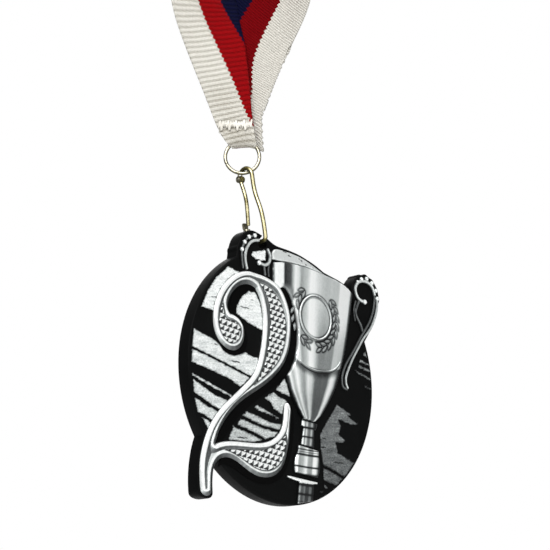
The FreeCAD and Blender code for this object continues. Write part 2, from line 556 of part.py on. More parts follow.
# neck loop: an arch whose ends carry on the line of each strap
left_end = on_ribbon(strap_line(-1, twist_end), twist_end)
right_end = on_ribbon(strap_line(1, twist_end), twist_end)
half_span = (right_end - left_end).Length / 2
lean_mean = (abs(strap_lean(-1)) + abs(strap_lean(1))) / 2
loop_radius = half_span / math.cos(lean_mean)
loop_t = (strap_line(-1, twist_end) + strap_line(1, twist_end)) / 2
loop_z = twist_end + loop_radius * math.sin(lean_mean)
loop_centre = on_ribbon(loop_t, loop_z)
start_face_points = []
for u, v in ((-1, -1), (1, -1), (1, 1), (-1, 1)):
    radial = (left_end - loop_centre).normalize()
    start_face_points.append(left_end + toward * (u * ribbon_width / 2)
                             + radial * (v * ribbon_thickness / 2))
start_face = Part.Face(Part.makePolygon(start_face_points + [start_face_points[0]]))
sweep_angle = 180 + 2 * math.degrees(lean_mean)
ribbon_neck_loop = start_face.revolve(loop_centre, toward, -sweep_angle)
ribbon_twist_left = twist(-1)
ribbon_twist_right = twist(1)

# ---- move to the neck loop's seat: the underside of the arch's top ----
seat = on_ribbon(loop_t, loop_z + loop_radius - ribbon_thickness / 2)

nodes = {
    "ribbon_strap_front": ribbon_strap_front,
    "ribbon_strap_back": ribbon_strap_back,
    "ribbon_twist_left": ribbon_twist_left,
    "ribbon_twist_right": ribbon_twist_right,
    "ribbon_neck_loop": ribbon_neck_loop,
    "ribbon_ring_fold": ribbon_ring_fold,
    "ribbon_bar_tack": ribbon_bar_tack,
    "jump_ring": jump_ring,
    "hook_wire": hook_wire,
    "hook_gate": hook_gate,
    "hook_catch": hook_catch,
    "hook_rivet": hook_rivet,
    "medal_body": medal_body,
    "brush_strokes_left": brush_strokes_left,
    "brush_strokes_middle": brush_strokes_middle,
    "brush_strokes_right": brush_strokes_right,
    "numeral_figure": numeral_figure,
    "numeral_shadow": numeral_shadow,
    "numeral_panel_stroke": numeral_panel_stroke,
    "numeral_panel_ball": numeral_panel_ball,
    "numeral_panel_foot": numeral_panel_foot,
    "cup_bowl": cup_bowl,
    "cup_rim": cup_rim,
    "cup_band": cup_band,
    "cup_medallion": cup_medallion,
    "cup_wreath": cup_wreath,
    "cup_stem": cup_stem,
    "cup_knop": cup_knop,
    "cup_foot": cup_foot,
    "handle_left": handle_left,
    "handle_right": handle_right,
}


def report(name, shape):
    box = shape.BoundBox
    print("%-22s %2d solids  vol %9.2f  valid %s  x %.1f..%.1f y %.1f..%.1f z %.1f..%.1f" % (
        name, len(shape.Solids), shape.Volume, shape.isValid(),
        box.XMin, box.XMax, box.YMin, box.YMax, box.ZMin, box.ZMax))


for name, shape in nodes.items():
    moved = shape.copy()
    moved.translate(seat * -1)
    report(name, moved)
    moved.exportStep("parts/%s.step" % name)

for label, point in (("seat", V(0, 0, 0)), ("disc centre", seat * -1),
                     ("hole", hole_middle + hook_up * pin_lift - seat),
                     ("rivet", rivet_point - seat), ("contact", contact - seat),
                     ("ring top", ring_top - seat), ("ring centre", ring_centre - seat)):
    print("%-12s %.3f %.3f %.3f" % (label, point.x, point.y, point.z))
for label, d in (("across", across), ("toward", toward), ("hook_up", hook_up),
                 ("hook_across", hook_across)):
    print("%-12s %.5f %.5f %.5f" % (label, d.x, d.y, d.z))
print("loop radius", round(loop_radius, 3), "ring_t", round(ring_t, 3), "top z", round(ring_top_z, 3))
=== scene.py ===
import math
import bpy
import numpy as np
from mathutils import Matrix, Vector


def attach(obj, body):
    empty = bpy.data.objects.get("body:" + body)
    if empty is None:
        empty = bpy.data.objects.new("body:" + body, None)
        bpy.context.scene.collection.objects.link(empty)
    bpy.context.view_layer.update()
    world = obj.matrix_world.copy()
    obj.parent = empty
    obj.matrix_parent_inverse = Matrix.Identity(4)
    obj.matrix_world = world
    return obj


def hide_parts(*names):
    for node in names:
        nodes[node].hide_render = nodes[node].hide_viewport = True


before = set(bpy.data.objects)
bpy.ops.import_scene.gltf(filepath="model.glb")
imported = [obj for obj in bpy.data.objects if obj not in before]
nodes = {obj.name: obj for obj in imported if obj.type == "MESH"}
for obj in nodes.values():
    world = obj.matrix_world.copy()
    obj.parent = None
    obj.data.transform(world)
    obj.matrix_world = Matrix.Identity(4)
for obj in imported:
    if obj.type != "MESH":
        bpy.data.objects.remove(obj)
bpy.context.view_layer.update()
mm = 0.001

# where things are, from the model's own layout, mm
discCentre = np.array([12.998, -4.068, -189.364])   # middle of the medal's front face
ringContact = np.array([0.904, -0.888, -134.175])   # where the hook hangs on the ring
across = np.array([0.71325, -0.70091, 0.0])         # along the ribbon's face, to the right
toward = np.array([-0.70091, -0.71325, 0.0])        # out of the ribbon's face
upward = np.array([0.0, 0.0, 1.0])
hangTilt = math.radians(6.7)                        # the medal hangs turned by this


# helpers for the raised artwork

# artwork x, z and depth y on the face, in mm, to a place in metres: turned by the hang, moved to the disc
def onFace(x, z, y):
    px = x * math.cos(hangTilt) + z * math.sin(hangTilt) + discCentre[0]
    pz = -x * math.sin(hangTilt) + z * math.cos(hangTilt) + discCentre[2]
    return np.stack([px, y + discCentre[1], pz], -1) * mm


# the edge round a node's flat face at one depth: sides that only one of its triangles has
def faceOutline(node, depth):
    mesh = nodes[node].data
    mesh.calc_loop_triangles()
    co = np.empty(len(mesh.vertices) * 3)
    mesh.vertices.foreach_get("co", co)
    tri = np.empty(len(mesh.loop_triangles) * 3, int)
    mesh.loop_triangles.foreach_get("vertices", tri)
    p = co.reshape(-1, 3) / mm - discCentre
    flat = np.stack([p[:, 0] * math.cos(hangTilt) - p[:, 2] * math.sin(hangTilt),
                     p[:, 0] * math.sin(hangTilt) + p[:, 2] * math.cos(hangTilt)], -1)
    tri = tri.reshape(-1, 3)
    tri = tri[(np.abs(p[tri][:, :, 1] - depth) < 0.004).all(1)]
    spots, same = np.unique(np.round(flat, 3), axis=0, return_inverse=True)
    tri = same.reshape(-1)[tri]
    sides = np.sort(np.concatenate([tri[:, [0, 1]], tri[:, [1, 2]], tri[:, [2, 0]]]), 1)
    sides, count = np.unique(sides, axis=0, return_counts=True)
    sides = sides[(count == 1) & (sides[:, 0] != sides[:, 1])]
    return np.stack([spots[sides[:, 0]], spots[sides[:, 1]]], 1)


# signed distance to an outline, positive inside: the shortest way to any side, inside where a ray to the
# right crosses the outline an odd number of times
def insideBy(x, z, outline):
    shape = x.shape
    q = np.stack([x.ravel(), z.ravel()], -1)[:, None, :]
    best = np.full(len(q), 1e9)
    odd = np.zeros(len(q), int)
    for part in np.array_split(outline, max(1, len(outline) // 12)):
        a, b = part[None, :, 0], part[None, :, 1]
        along = b - a
        share = np.clip(((q - a) * along).sum(-1) / (along ** 2).sum(-1), 0, 1)
        gap = q - a - along * share[..., None]
        best = np.minimum(best, (gap ** 2).sum(-1).min(1))
        span = (a[..., 1] > q[..., 1]) != (b[..., 1] > q[..., 1])
        rise = np.where(np.abs(along[..., 1]) < 1e-9, 1e-9, along[..., 1])
        odd += (span & (q[..., 0] < a[..., 0] + along[..., 0] * (q[..., 1] - a[..., 1]) / rise)).sum(1)
    return (np.sqrt(best) * np.where(odd % 2 == 1, 1, -1)).reshape(shape)


# smooth pseudo-random field from a few turned sine waves, about -1 to 1
def ripple(x, z, pitch, seed):
    rng = np.random.default_rng(seed)
    total = np.zeros_like(x)
    waves, circle, calm = 7, 6.283, 4.0
    turns, shifts = rng.uniform(0, circle, waves), rng.uniform(0, circle, waves)
    for turn, shift, size in zip(turns, shifts, rng.uniform(0.6, 1.7, waves)):
        total += np.sin((x * math.cos(turn) + z * math.sin(turn)) * circle / (pitch * size) + shift)
    return total / calm


# rows of vectors, each divided by its own length
def unitRows(vectors):
    return vectors / np.linalg.norm(vectors, axis=1)[:, None]


# four-sided faces between rings of points that each close on themselves
def tubeFaces(rows, sides):
    ids = np.arange(rows * sides).reshape(rows, sides)
    beside = np.roll(ids, -1, axis=1)
    return np.stack([ids[:-1], beside[:-1], beside[1:], ids[1:]], -1).reshape(-1, 4)


# one value wherever it is asked for: a level surface or an even tone
def levelAt(value):
    return lambda x, z, *others: value + 0.0 * x


# an object made from its data and put in the scene
def placed(name, data):
    obj = bpy.data.objects.new(name, data)
    bpy.context.scene.collection.objects.link(obj)
    return obj


# mesh with its point attributes, smooth except where faces meet at more than the sharp angle
def meshObject(name, verts, faces, attributes=(), sharp=35.0):
    mesh = bpy.data.meshes.new(name)
    mesh.from_pydata(verts.tolist(), [], faces.tolist())
    for label, values in attributes:
        layer = mesh.attributes.new(label, "FLOAT", "POINT")
        layer.data.foreach_set("value", values.astype(np.float32))
    mesh.validate()
    mesh.shade_smooth()
    if sharp:
        mesh.set_sharp_from_angle(angle=math.radians(sharp))
    return placed(name, mesh)


# raised piece: a grid over the outline, its edge points slid on to the outline, and a front and a back given
# by place and distance from the edge; each of edgeRows adds a row to the wall, that far out at that depth
def raised(name, outline, step, frontAt, backAt, toneAt, ragged=None, sharp=35.0, edgeRows=(), inset=0.0):
    corners = outline.reshape(-1, 2)
    low, high = corners.min(0) - 2 * step, corners.max(0) + 2 * step
    x, z = np.meshgrid(np.arange(low[0], high[0], step), np.arange(low[1], high[1], step))
    inside = insideBy(x, z, outline) - inset
    if ragged is not None:
        inside = inside - ragged(x, z)
    slopeZ, slopeX = np.gradient(inside, step)
    steep = np.maximum(np.hypot(slopeX, slopeZ), 0.2)
    slopeX, slopeZ = slopeX / steep, slopeZ / steep
    kept = (inside[1:, 1:] + inside[:-1, 1:] + inside[1:, :-1] + inside[:-1, :-1]) > 0
    ids = np.arange(x.size).reshape(x.shape)
    padded = np.pad(kept, 1)
    touching = padded[1:, 1:].astype(int) + padded[:-1, 1:] + padded[1:, :-1] + padded[:-1, :-1]
    rim = (touching > 0) & (touching < 4)
    x = np.where(rim, x - inside / steep * slopeX, x)
    z = np.where(rim, z - inside / steep * slopeZ, z)
    depthIn = np.where(rim, 0.0, np.maximum(inside, 0.0))
    front = frontAt(x, z, depthIn, -slopeX, -slopeZ)
    back = backAt(x, z, depthIn)
    tone = toneAt(x, z, depthIn, -slopeX, -slopeZ)
    a, b, c, d = ids[:-1, :-1], ids[:-1, 1:], ids[1:, 1:], ids[1:, :-1]
    top = np.stack([a, b, c, d], -1)[kept]
    inner = padded[1:-1, 1:-1]
    rows = [0] + [k + 2 for k in range(len(edgeRows))] + [1]
    walls = []
    for start, end, other in ((a, b, padded[:-2, 1:-1]), (b, c, padded[1:-1, 2:]),
                              (c, d, padded[2:, 1:-1]), (d, a, padded[1:-1, :-2])):
        edge = inner & ~other
        walls += [np.stack([end[edge] + k * x.size, start[edge] + k * x.size, start[edge] + m * x.size,
                            end[edge] + m * x.size], -1) for k, m in zip(rows[:-1], rows[1:])]
    faces = np.concatenate([top, top[:, ::-1] + x.size] + walls)
    used, faces = np.unique(faces, return_inverse=True)
    faces = faces.reshape(-1, 4)
    layers = [onFace(x, z, front), onFace(x, z, back)]
    layers += [onFace(x - slopeX * out, z - slopeZ * out, 0.0 * x + depth) for out, depth in edgeRows]
    spots = np.concatenate([layer.reshape(-1, 3) for layer in layers])[used]
    # walls and back take half the front's tone: painted shade on the sides of each raised piece
    tones = np.concatenate([tone.ravel()] + [tone.ravel() * 0.5] * (len(layers) - 1))[used]
    return meshObject(name, spots, faces, [("tone", np.clip(tones, 0, 1))], sharp)


# smooth line through a few points: natural cubic spline on the lengths between them
def smoothLine(points, step):
    p = np.asarray(points, float)
    gaps = np.linalg.norm(np.diff(p, axis=0), axis=1)
    knots = np.concatenate([[0], np.cumsum(gaps)])
    size = len(p)
    system, right = np.eye(size), np.zeros_like(p)
    k = np.arange(1, size - 1)
    system[k, k - 1], system[k, k], system[k, k + 1] = gaps[:-1], 2 * (gaps[:-1] + gaps[1:]), gaps[1:]
    right[1:-1] = 6 * (np.diff(p[1:], axis=0) / gaps[1:, None] - np.diff(p[:-1], axis=0) / gaps[:-1, None])
    bend = np.linalg.solve(system, right)
    marks = np.linspace(0, knots[-1], max(8, int(knots[-1] / step)))
    at = np.clip(np.searchsorted(knots, marks, "right") - 1, 0, size - 2)
    h = gaps[at][:, None]
    b = ((marks - knots[at]) / gaps[at])[:, None]
    a = 1 - b
    return a * p[at] + b * p[at + 1] + ((a ** 3 - a) * bend[at] + (b ** 3 - b) * bend[at + 1]) * h ** 2 / 6


# round wire: a circle carried along a line, its first direction the given side made square to the line's run;
# each end is rounded by rows whose radius follows a sine while they move outward by a cosine times cap
def roundWire(line, radius, side, sides=14, cap=0.35):
    endRows, tonePower = 5, 1.6
    along = unitRows(np.gradient(line, axis=0))
    size = np.full(len(line), float(radius))
    quarter = np.linspace(0.02, math.pi / 2, endRows + 1)[:-1]
    shrink, push = np.sin(quarter), np.cos(quarter)
    head = line[0] - along[0] * (push * size[0] * cap)[:, None]
    tail = line[-1] + along[-1] * (push[::-1] * size[-1] * cap)[:, None]
    line = np.concatenate([head, line, tail])
    along = np.concatenate([np.repeat(along[:1], endRows, 0), along, np.repeat(along[-1:], endRows, 0)])
    size = np.concatenate([shrink * size[0], size, shrink[::-1] * size[-1]])
    first = unitRows(side - along * (along @ side)[:, None])
    second = np.cross(along, first)
    turn = np.linspace(0, 2 * math.pi, sides, endpoint=False)
    out = first[:, None, :] * np.cos(turn)[None, :, None] + second[:, None, :] * np.sin(turn)[None, :, None]
    spots = line[:, None, :] + size[:, None, None] * out
    # painted light: a highlight where it faces the front or back, painted shade along its sides
    return spots.reshape(-1, 3), tubeFaces(len(line), sides), np.abs(out @ toward).ravel() ** tonePower


# turned piece: a profile of radius and height spun about an axis
def turnedPart(profile, centre, axis, sides=28):
    axis = np.asarray(axis, float) / np.linalg.norm(axis)
    helper = np.array([0.0, 0.0, 1.0]) if abs(axis[2]) < 0.9 else np.array([1.0, 0.0, 0.0])
    first = np.cross(axis, helper)
    first /= np.linalg.norm(first)
    second = np.cross(axis, first)
    turn = np.linspace(0, 2 * math.pi, sides, endpoint=False)
    rows = np.asarray(profile, float)
    ring = first[None, :] * np.cos(turn)[:, None] + second[None, :] * np.sin(turn)[:, None]
    spots = np.asarray(centre)[None, None, :] + rows[:, 0][:, None, None] * ring[None] \
        + rows[:, 1][:, None, None] * axis[None, None, :]
    # painted light: lighter where the surface faces the viewer, darker on its sides
    tone = np.abs(np.broadcast_to(ring[None] @ toward, (len(rows), sides)))
    return spots.reshape(-1, 3), tubeFaces(len(rows), sides), (0.2 + 0.65 * tone).ravel()


# several such shells as one object
def gathered(name, shells, sharp=40.0):
    counts = np.cumsum([0] + [len(spots) for spots, faces, tone in shells])
    spots = np.concatenate([shell[0] for shell in shells])
    faces = np.concatenate([shell[1] + start for shell, start in zip(shells, counts)])
    tones = np.concatenate([shell[2] for shell in shells])
    return meshObject(name, spots * mm, faces, [("tone", np.clip(tones, 0, 1))], sharp)


# rides a piece on its body, names the nodes it replaces, and gives it its only material
def dressed(obj, body, slotName, material, *replaced):
    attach(obj, body)
    if replaced:
        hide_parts(*replaced)
    obj.data.materials.clear()
    obj.data.materials.append(material)
    return obj


# eased step from low to high: three t squared less two t cubed of the share t
def smoothStep(v, low, high):
    t = np.clip((v - low) / (high - low), 0, 1)
    return t * t * (3 - 2 * t)


# finishes
class Finish:
    # a material's node tree with short calls to add and join nodes
    def __init__(self, name):
        self.material = bpy.data.materials.new(name)
        self.material.use_nodes = True
        self.tree = self.material.node_tree
        self.shader = self.tree.nodes["Principled BSDF"]

    def add(self, kind, **settings):
        node = self.tree.nodes.new(kind)
        for key, value in settings.items():
            setattr(node, key, value)
        return node

    def join(self, out, into):
        self.tree.links.new(out, into)

    def attribute(self, name):
        return self.add("ShaderNodeAttribute", attribute_name=name).outputs["Fac"]

    # blend of two colours, each a triple or another node's output
    def mix(self, fac, first, second, **settings):
        node = self.add("ShaderNodeMixRGB", **settings)
        self.join(fac, node.inputs["Fac"])
        for value, socket in ((first, node.inputs["Color1"]), (second, node.inputs["Color2"])):
            if isinstance(value, tuple):
                socket.default_value = (*value, 1)
            else:
                self.join(value, socket)
        return node.outputs["Color"]

    # sine of a value that repeats every pitch
    def wave(self, value, pitch):
        return self.math("SINE", self.math("MULTIPLY", value, 6.2832 / pitch), 0.0)

    def noise(self, place, scale, detail=4.0, rough=0.55):
        node = self.add("ShaderNodeTexNoise")
        node.inputs["Scale"].default_value = scale
        node.inputs["Detail"].default_value = detail
        node.inputs["Roughness"].default_value = rough
        self.join(place, node.inputs["Vector"])
        return node.outputs["Fac"]

    def ramp(self, fac, stops):
        node = self.add("ShaderNodeValToRGB")
        while len(node.color_ramp.elements) < len(stops):
            node.color_ramp.elements.new(0.5)
        for element, (spot, colour) in zip(node.color_ramp.elements, stops):
            element.position = spot
            element.color = (*colour, 1)
        self.join(fac, node.inputs["Fac"])
        return node.outputs["Color"]

    def math(self, operation, first, second):
        node = self.add("ShaderNodeMath", operation=operation)
        for value, socket in ((first, node.inputs[0]), (second, node.inputs[1])):
            if isinstance(value, (int, float)):
                socket.default_value = value
            else:
                self.join(value, socket)
        return node.outputs[0]

    def ranged(self, fac, low, high, fromLow=0.3, fromHigh=0.7):
        node = self.add("ShaderNodeMapRange")
        self.join(fac, node.inputs["Value"])
        for key, value in (("From Min", fromLow), ("From Max", fromHigh), ("To Min", low), ("To Max", high)):
            node.inputs[key].default_value = value
        return node.outputs["Result"]

    def bump(self, height, strength, distance, under=None):
        node = self.add("ShaderNodeBump")
        node.inputs["Strength"].default_value = strength
        node.inputs["Distance"].default_value = distance
        self.join(height, node.inputs["Height"])
        if under is not None:
            self.join(under, node.inputs["Normal"])
        return node.outputs["Normal"]

    def objectPlace(self, scale=(1, 1, 1), turn=(0, 0, 0)):
        place = self.add("ShaderNodeTexCoord").outputs["Object"]
        mapping = self.add("ShaderNodeMapping")
        mapping.inputs["Scale"].default_value = scale
        mapping.inputs["Rotation"].default_value = turn
        self.join(place, mapping.inputs["Vector"])
        return mapping.outputs["Vector"]


# silver relief: tone from the piece's own attribute, which carries the pieces' painted light and shade, fine
# cast grain, worn bright and dark specks
def silverFinish(name, settings):
    f = Finish(name)
    tone = f.attribute("tone")
    stretched = f.objectPlace(settings["stretch"], (0, settings["turn"], 0))
    grain = f.noise(stretched, settings["grainScale"], 5.0, 0.62)
    speck = f.noise(f.objectPlace(), settings["speckScale"], 6.0, 0.7)
    grey = f.math("ADD", tone, f.ranged(grain, -settings["grain"], settings["grain"]))
    grey = f.math("ADD", grey, f.ranged(speck, -settings["speck"], settings["speck"]))
    colour = f.ramp(grey, [
        (0.0, (0.002, 0.002, 0.002)), (0.22, (0.018, 0.020, 0.021)), (0.5, (0.17, 0.183, 0.183)),
        (0.75, (0.56, 0.595, 0.585)), (1.0, (0.98, 1.0, 0.99))])
    f.join(colour, f.shader.inputs["Base Color"])
    rough, spread = settings["rough"], settings["roughSpread"]
    f.join(f.ranged(grain, rough - spread, rough + spread), f.shader.inputs["Roughness"])
    f.shader.inputs["Metallic"].default_value = settings["metal"]
    f.shader.inputs["Specular IOR Level"].default_value = 0.5
    f.join(f.bump(grain, settings["bump"], 0.00005), f.shader.inputs["Normal"])
    return f.material


reliefSilver = silverFinish("reliefSilver", {
    "stretch": (1, 1, 1), "turn": 0.0, "grainScale": 2600, "speckScale": 900, "grain": 0.05, "speck": 0.04,
    "rough": 0.34, "roughSpread": 0.08, "metal": 0.55, "bump": 0.3})
cupSilver = silverFinish("cupSilver", {
    "stretch": (1, 1, 0.35), "turn": -hangTilt, "grainScale": 3000, "speckScale": 2600, "grain": 0.025,
    "speck": 0.03, "rough": 0.36, "roughSpread": 0.02, "metal": 0.6, "bump": 0.05})
strokeSilver = silverFinish("strokeSilver", {
    "stretch": (0.5, 1, 1), "turn": hangTilt * 0.4, "grainScale": 3400, "speckScale": 3000, "grain": 0.10,
    "speck": 0.13, "rough": 0.44, "roughSpread": 0.06, "metal": 0.5, "bump": 0.5})


# black paint on cast metal: orange peel, a little dust, softly varied gloss
def blackFinish(name, settings):
    f = Finish(name)
    place = f.objectPlace()
    peel = f.noise(place, settings["peelScale"], 3.0)
    dust = f.noise(place, 3800, 6.0, 0.75)
    cloud = f.noise(place, 90, 3.0)
    grey = f.math("ADD", f.ranged(cloud, 0.0, 0.5), f.ranged(dust, -0.1, 0.5, 0.45, 0.8))
    f.join(f.ramp(grey, [(0.0, settings["dark"]), (1.0, settings["light"])]), f.shader.inputs["Base Color"])
    f.join(f.ranged(cloud, settings["rough"] - 0.06, settings["rough"] + 0.08), f.shader.inputs["Roughness"])
    f.shader.inputs["Specular IOR Level"].default_value = settings["shine"]
    f.join(f.bump(peel, 0.35, 0.00006), f.shader.inputs["Normal"])
    return f.material


blackBody = blackFinish("blackBody", {
    "peelScale": 1300, "dark": (0.0012, 0.0014, 0.0014), "light": (0.003, 0.0033, 0.0033), "rough": 0.5,
    "shine": 0.05})
blackPad = blackFinish("blackPad", {
    "peelScale": 1700, "dark": (0.001, 0.001, 0.001), "light": (0.002, 0.002, 0.002), "rough": 0.55,
    "shine": 0.03})


# pale gold plating over wire: tone from the piece's own attribute as painted light, dark along its sides and
# bright where it faces the viewer; drawn lines, small pits, a few darker patches at random
def goldFinish(name, settings):
    f = Finish(name)
    tone = f.attribute("tone")
    place = f.objectPlace()
    drawn = f.noise(f.objectPlace((1, 1, 0.08)), 2400, 3.0)
    patch = f.noise(place, 420, 4.0)
    pit = f.noise(place, 5200, 2.0)
    litAndWorn = f.math("ADD", tone, f.ranged(patch, -0.12, 0.12))
    # the edge and dark colours are painted shade, the light colour a painted highlight
    f.join(f.ramp(litAndWorn, [(0.46, settings["edge"]), (0.76, settings["dark"]), (0.95, settings["light"])]),
           f.shader.inputs["Base Color"])
    f.join(f.ranged(patch, settings["rough"], settings["rough"] + 0.12), f.shader.inputs["Roughness"])
    f.shader.inputs["Metallic"].default_value = settings["metal"]
    first = f.bump(drawn, 0.05, 0.00001)
    f.join(f.bump(pit, 0.04, 0.000008, first), f.shader.inputs["Normal"])
    return f.material


# edge, dark and light: colours of the painted shade on the sides and the painted highlight on the front
ringGold = goldFinish("ringGold", {
    "edge": (0.06, 0.057, 0.035), "dark": (0.20, 0.18, 0.10), "light": (0.72, 0.68, 0.54), "rough": 0.34,
    "metal": 0.7})
hookGold = goldFinish("hookGold", {
    "edge": (0.05, 0.045, 0.016), "dark": (0.20, 0.165, 0.045), "light": (0.88, 0.80, 0.48), "rough": 0.34,
    "metal": 0.7})
fittingGold = goldFinish("fittingGold", {
    "edge": (0.05, 0.045, 0.03), "dark": (0.26, 0.24, 0.17), "light": (0.86, 0.82, 0.66), "rough": 0.38,
    "metal": 0.7})
print("finishes made")


# ribbon: one woven band from the ring's fold up both straps and over the neck
ribbonSet = {
    "width": 25.0, "thickness": 0.62, "layerGap": 0.95, "foldGap": 0.24, "turnLength": 1.6, "across": 70,
    "step": 0.5, "white": (0.74, 0.72, 0.66), "red": (0.29, 0.002, 0.004), "redInShade": (0.19, 0.001, 0.003),
    "blue": (0.003, 0.004, 0.026), "whiteTo": 9.0, "redTo": 17.2, "ribPitch": 1.45, "finePitch": 0.72,
    "fineSlant": 0.45, "threadPitch": 0.42, "scallop": 0.24, "grooveShade": (0.40, 0.38, 0.34),
    "creaseShade": (0.47, 0.44, 0.38), "behindInset": 0.45, "bend": 12, "smoothOver": 31}
# route from the back of the fold, round the ring, up the left strap, over the neck, down the right strap:
# t right, z up, off out of the face; the band's spin, its folded width, how much of its edge tucks behind
ribbonRoute = [
    (-2.4, 13.2, -1.3, 0, 6.6, 0), (-2.0, 10.4, -1.8, 0, 6.4, 0), (-1.0, 8.4, -1.5, 0, 6.2, 0),
    (-0.7, 7.8, 0.0, 0, 6.4, 0), (-0.9, 8.2, 1.4, 0, 7.6, 0), (-1.8, 10.1, 2.0, 0, 9.0, 0),
    (-2.9, 13.6, 1.4, 0, 9.9, 0), (-3.9, 17.0, 1.25, -2, 10.7, 0), (-5.35, 24.0, 1.4, -7, 13.0, 0),
    (-7.25, 31.5, 1.9, -14, 15.6, 0), (-8.9, 38.0, 2.0, -23, 18.3, 0),
    (-10.9, 45.5, 2.1, -32, 21.2, 0), (-12.3, 53.0, 2.0, -42, 24.0, 0),
    (-16.0, 63.0, 1.6, -58, 25.0, 0), (-20.5, 74.0, 0.9, -74, 25.0, 0),
    (-26.6, 87.5, 0.2, -86, 25.0, 0), (-33.0, 101.0, 0.0, -90, 25.0, 0),
    (-33.6, 113.0, 0.0, -90, 25.0, 0), (-27.0, 126.0, 0.0, -90, 25.0, 0),
    (-13.5, 133.0, 0.0, -90, 25.0, 0), (-0.8, 134.9, 0.0, -90, 25.0, 0),
    (11.9, 133.0, 0.0, -90, 25.0, 0), (25.6, 126.0, 0.0, -90, 25.0, 0),
    (32.2, 113.0, 0.0, -90, 25.0, 0), (31.0, 101.0, 0.0, -90, 25.0, 0),
    (23.8, 87.5, -0.6, -84, 25.0, 0), (17.0, 74.0, -1.6, -66, 25.0, 0),
    (11.4, 63.0, -2.4, -42, 25.0, 0), (6.9, 53.0, -2.9, -22, 25.0, 0),
    (4.4, 45.5, -3.0, -10, 22.0, 0), (2.6, 38.0, -2.9, 0, 18.5, 0.2), (1.4, 31.5, -2.3, 0, 15.6, 1.2),
    (0.5, 24.0, -1.8, 0, 12.2, 4.4), (-0.6, 17.0, -1.6, 0, 9.4, 4.6), (0.2, 13.0, -1.7, 0, 8.8, 1.0),
    (0.6, 8.2, -2.3, 0, 8.2, 0)]


# ribbon-plane place to the model's frame in mm: contact point plus t, z and off along their directions
def onRibbon(t, z, off):
    return (ringContact + np.asarray(t)[..., None] * across + np.asarray(z)[..., None] * upward
            + np.asarray(off)[..., None] * toward)


# sampled curve that is pulled towards its control points
def splineThrough(controlPoints, name):
    curve = bpy.data.curves.new(name, "CURVE")
    curve.dimensions = "3D"
    spline = curve.splines.new("NURBS")
    spline.points.add(len(controlPoints) - 1)
    weighted = np.column_stack([controlPoints * mm, np.ones(len(controlPoints))])
    spline.points.foreach_set("co", weighted.ravel())
    spline.order_u = 3
    spline.use_endpoint_u = True
    spline.resolution_u = 24
    obj = placed(name, curve)
    bpy.context.view_layer.update()
    mesh = bpy.data.meshes.new_from_object(obj.evaluated_get(bpy.context.evaluated_depsgraph_get()))
    line = np.empty(len(mesh.vertices) * 3)
    mesh.vertices.foreach_get("co", line)
    bpy.data.objects.remove(obj)
    bpy.data.meshes.remove(mesh)
    return line.reshape(-1, 3) / mm


# distance run up to each point
def runLength(line):
    return np.concatenate([[0], np.cumsum(np.linalg.norm(np.diff(line, axis=0), axis=1))])


# points at an even step along a line
def evenly(line, step):
    length = runLength(line)
    marks = np.linspace(0, length[-1], int(length[-1] / step) + 1)
    return np.stack([np.interp(marks, length, line[:, k]) for k in range(3)], -1), marks


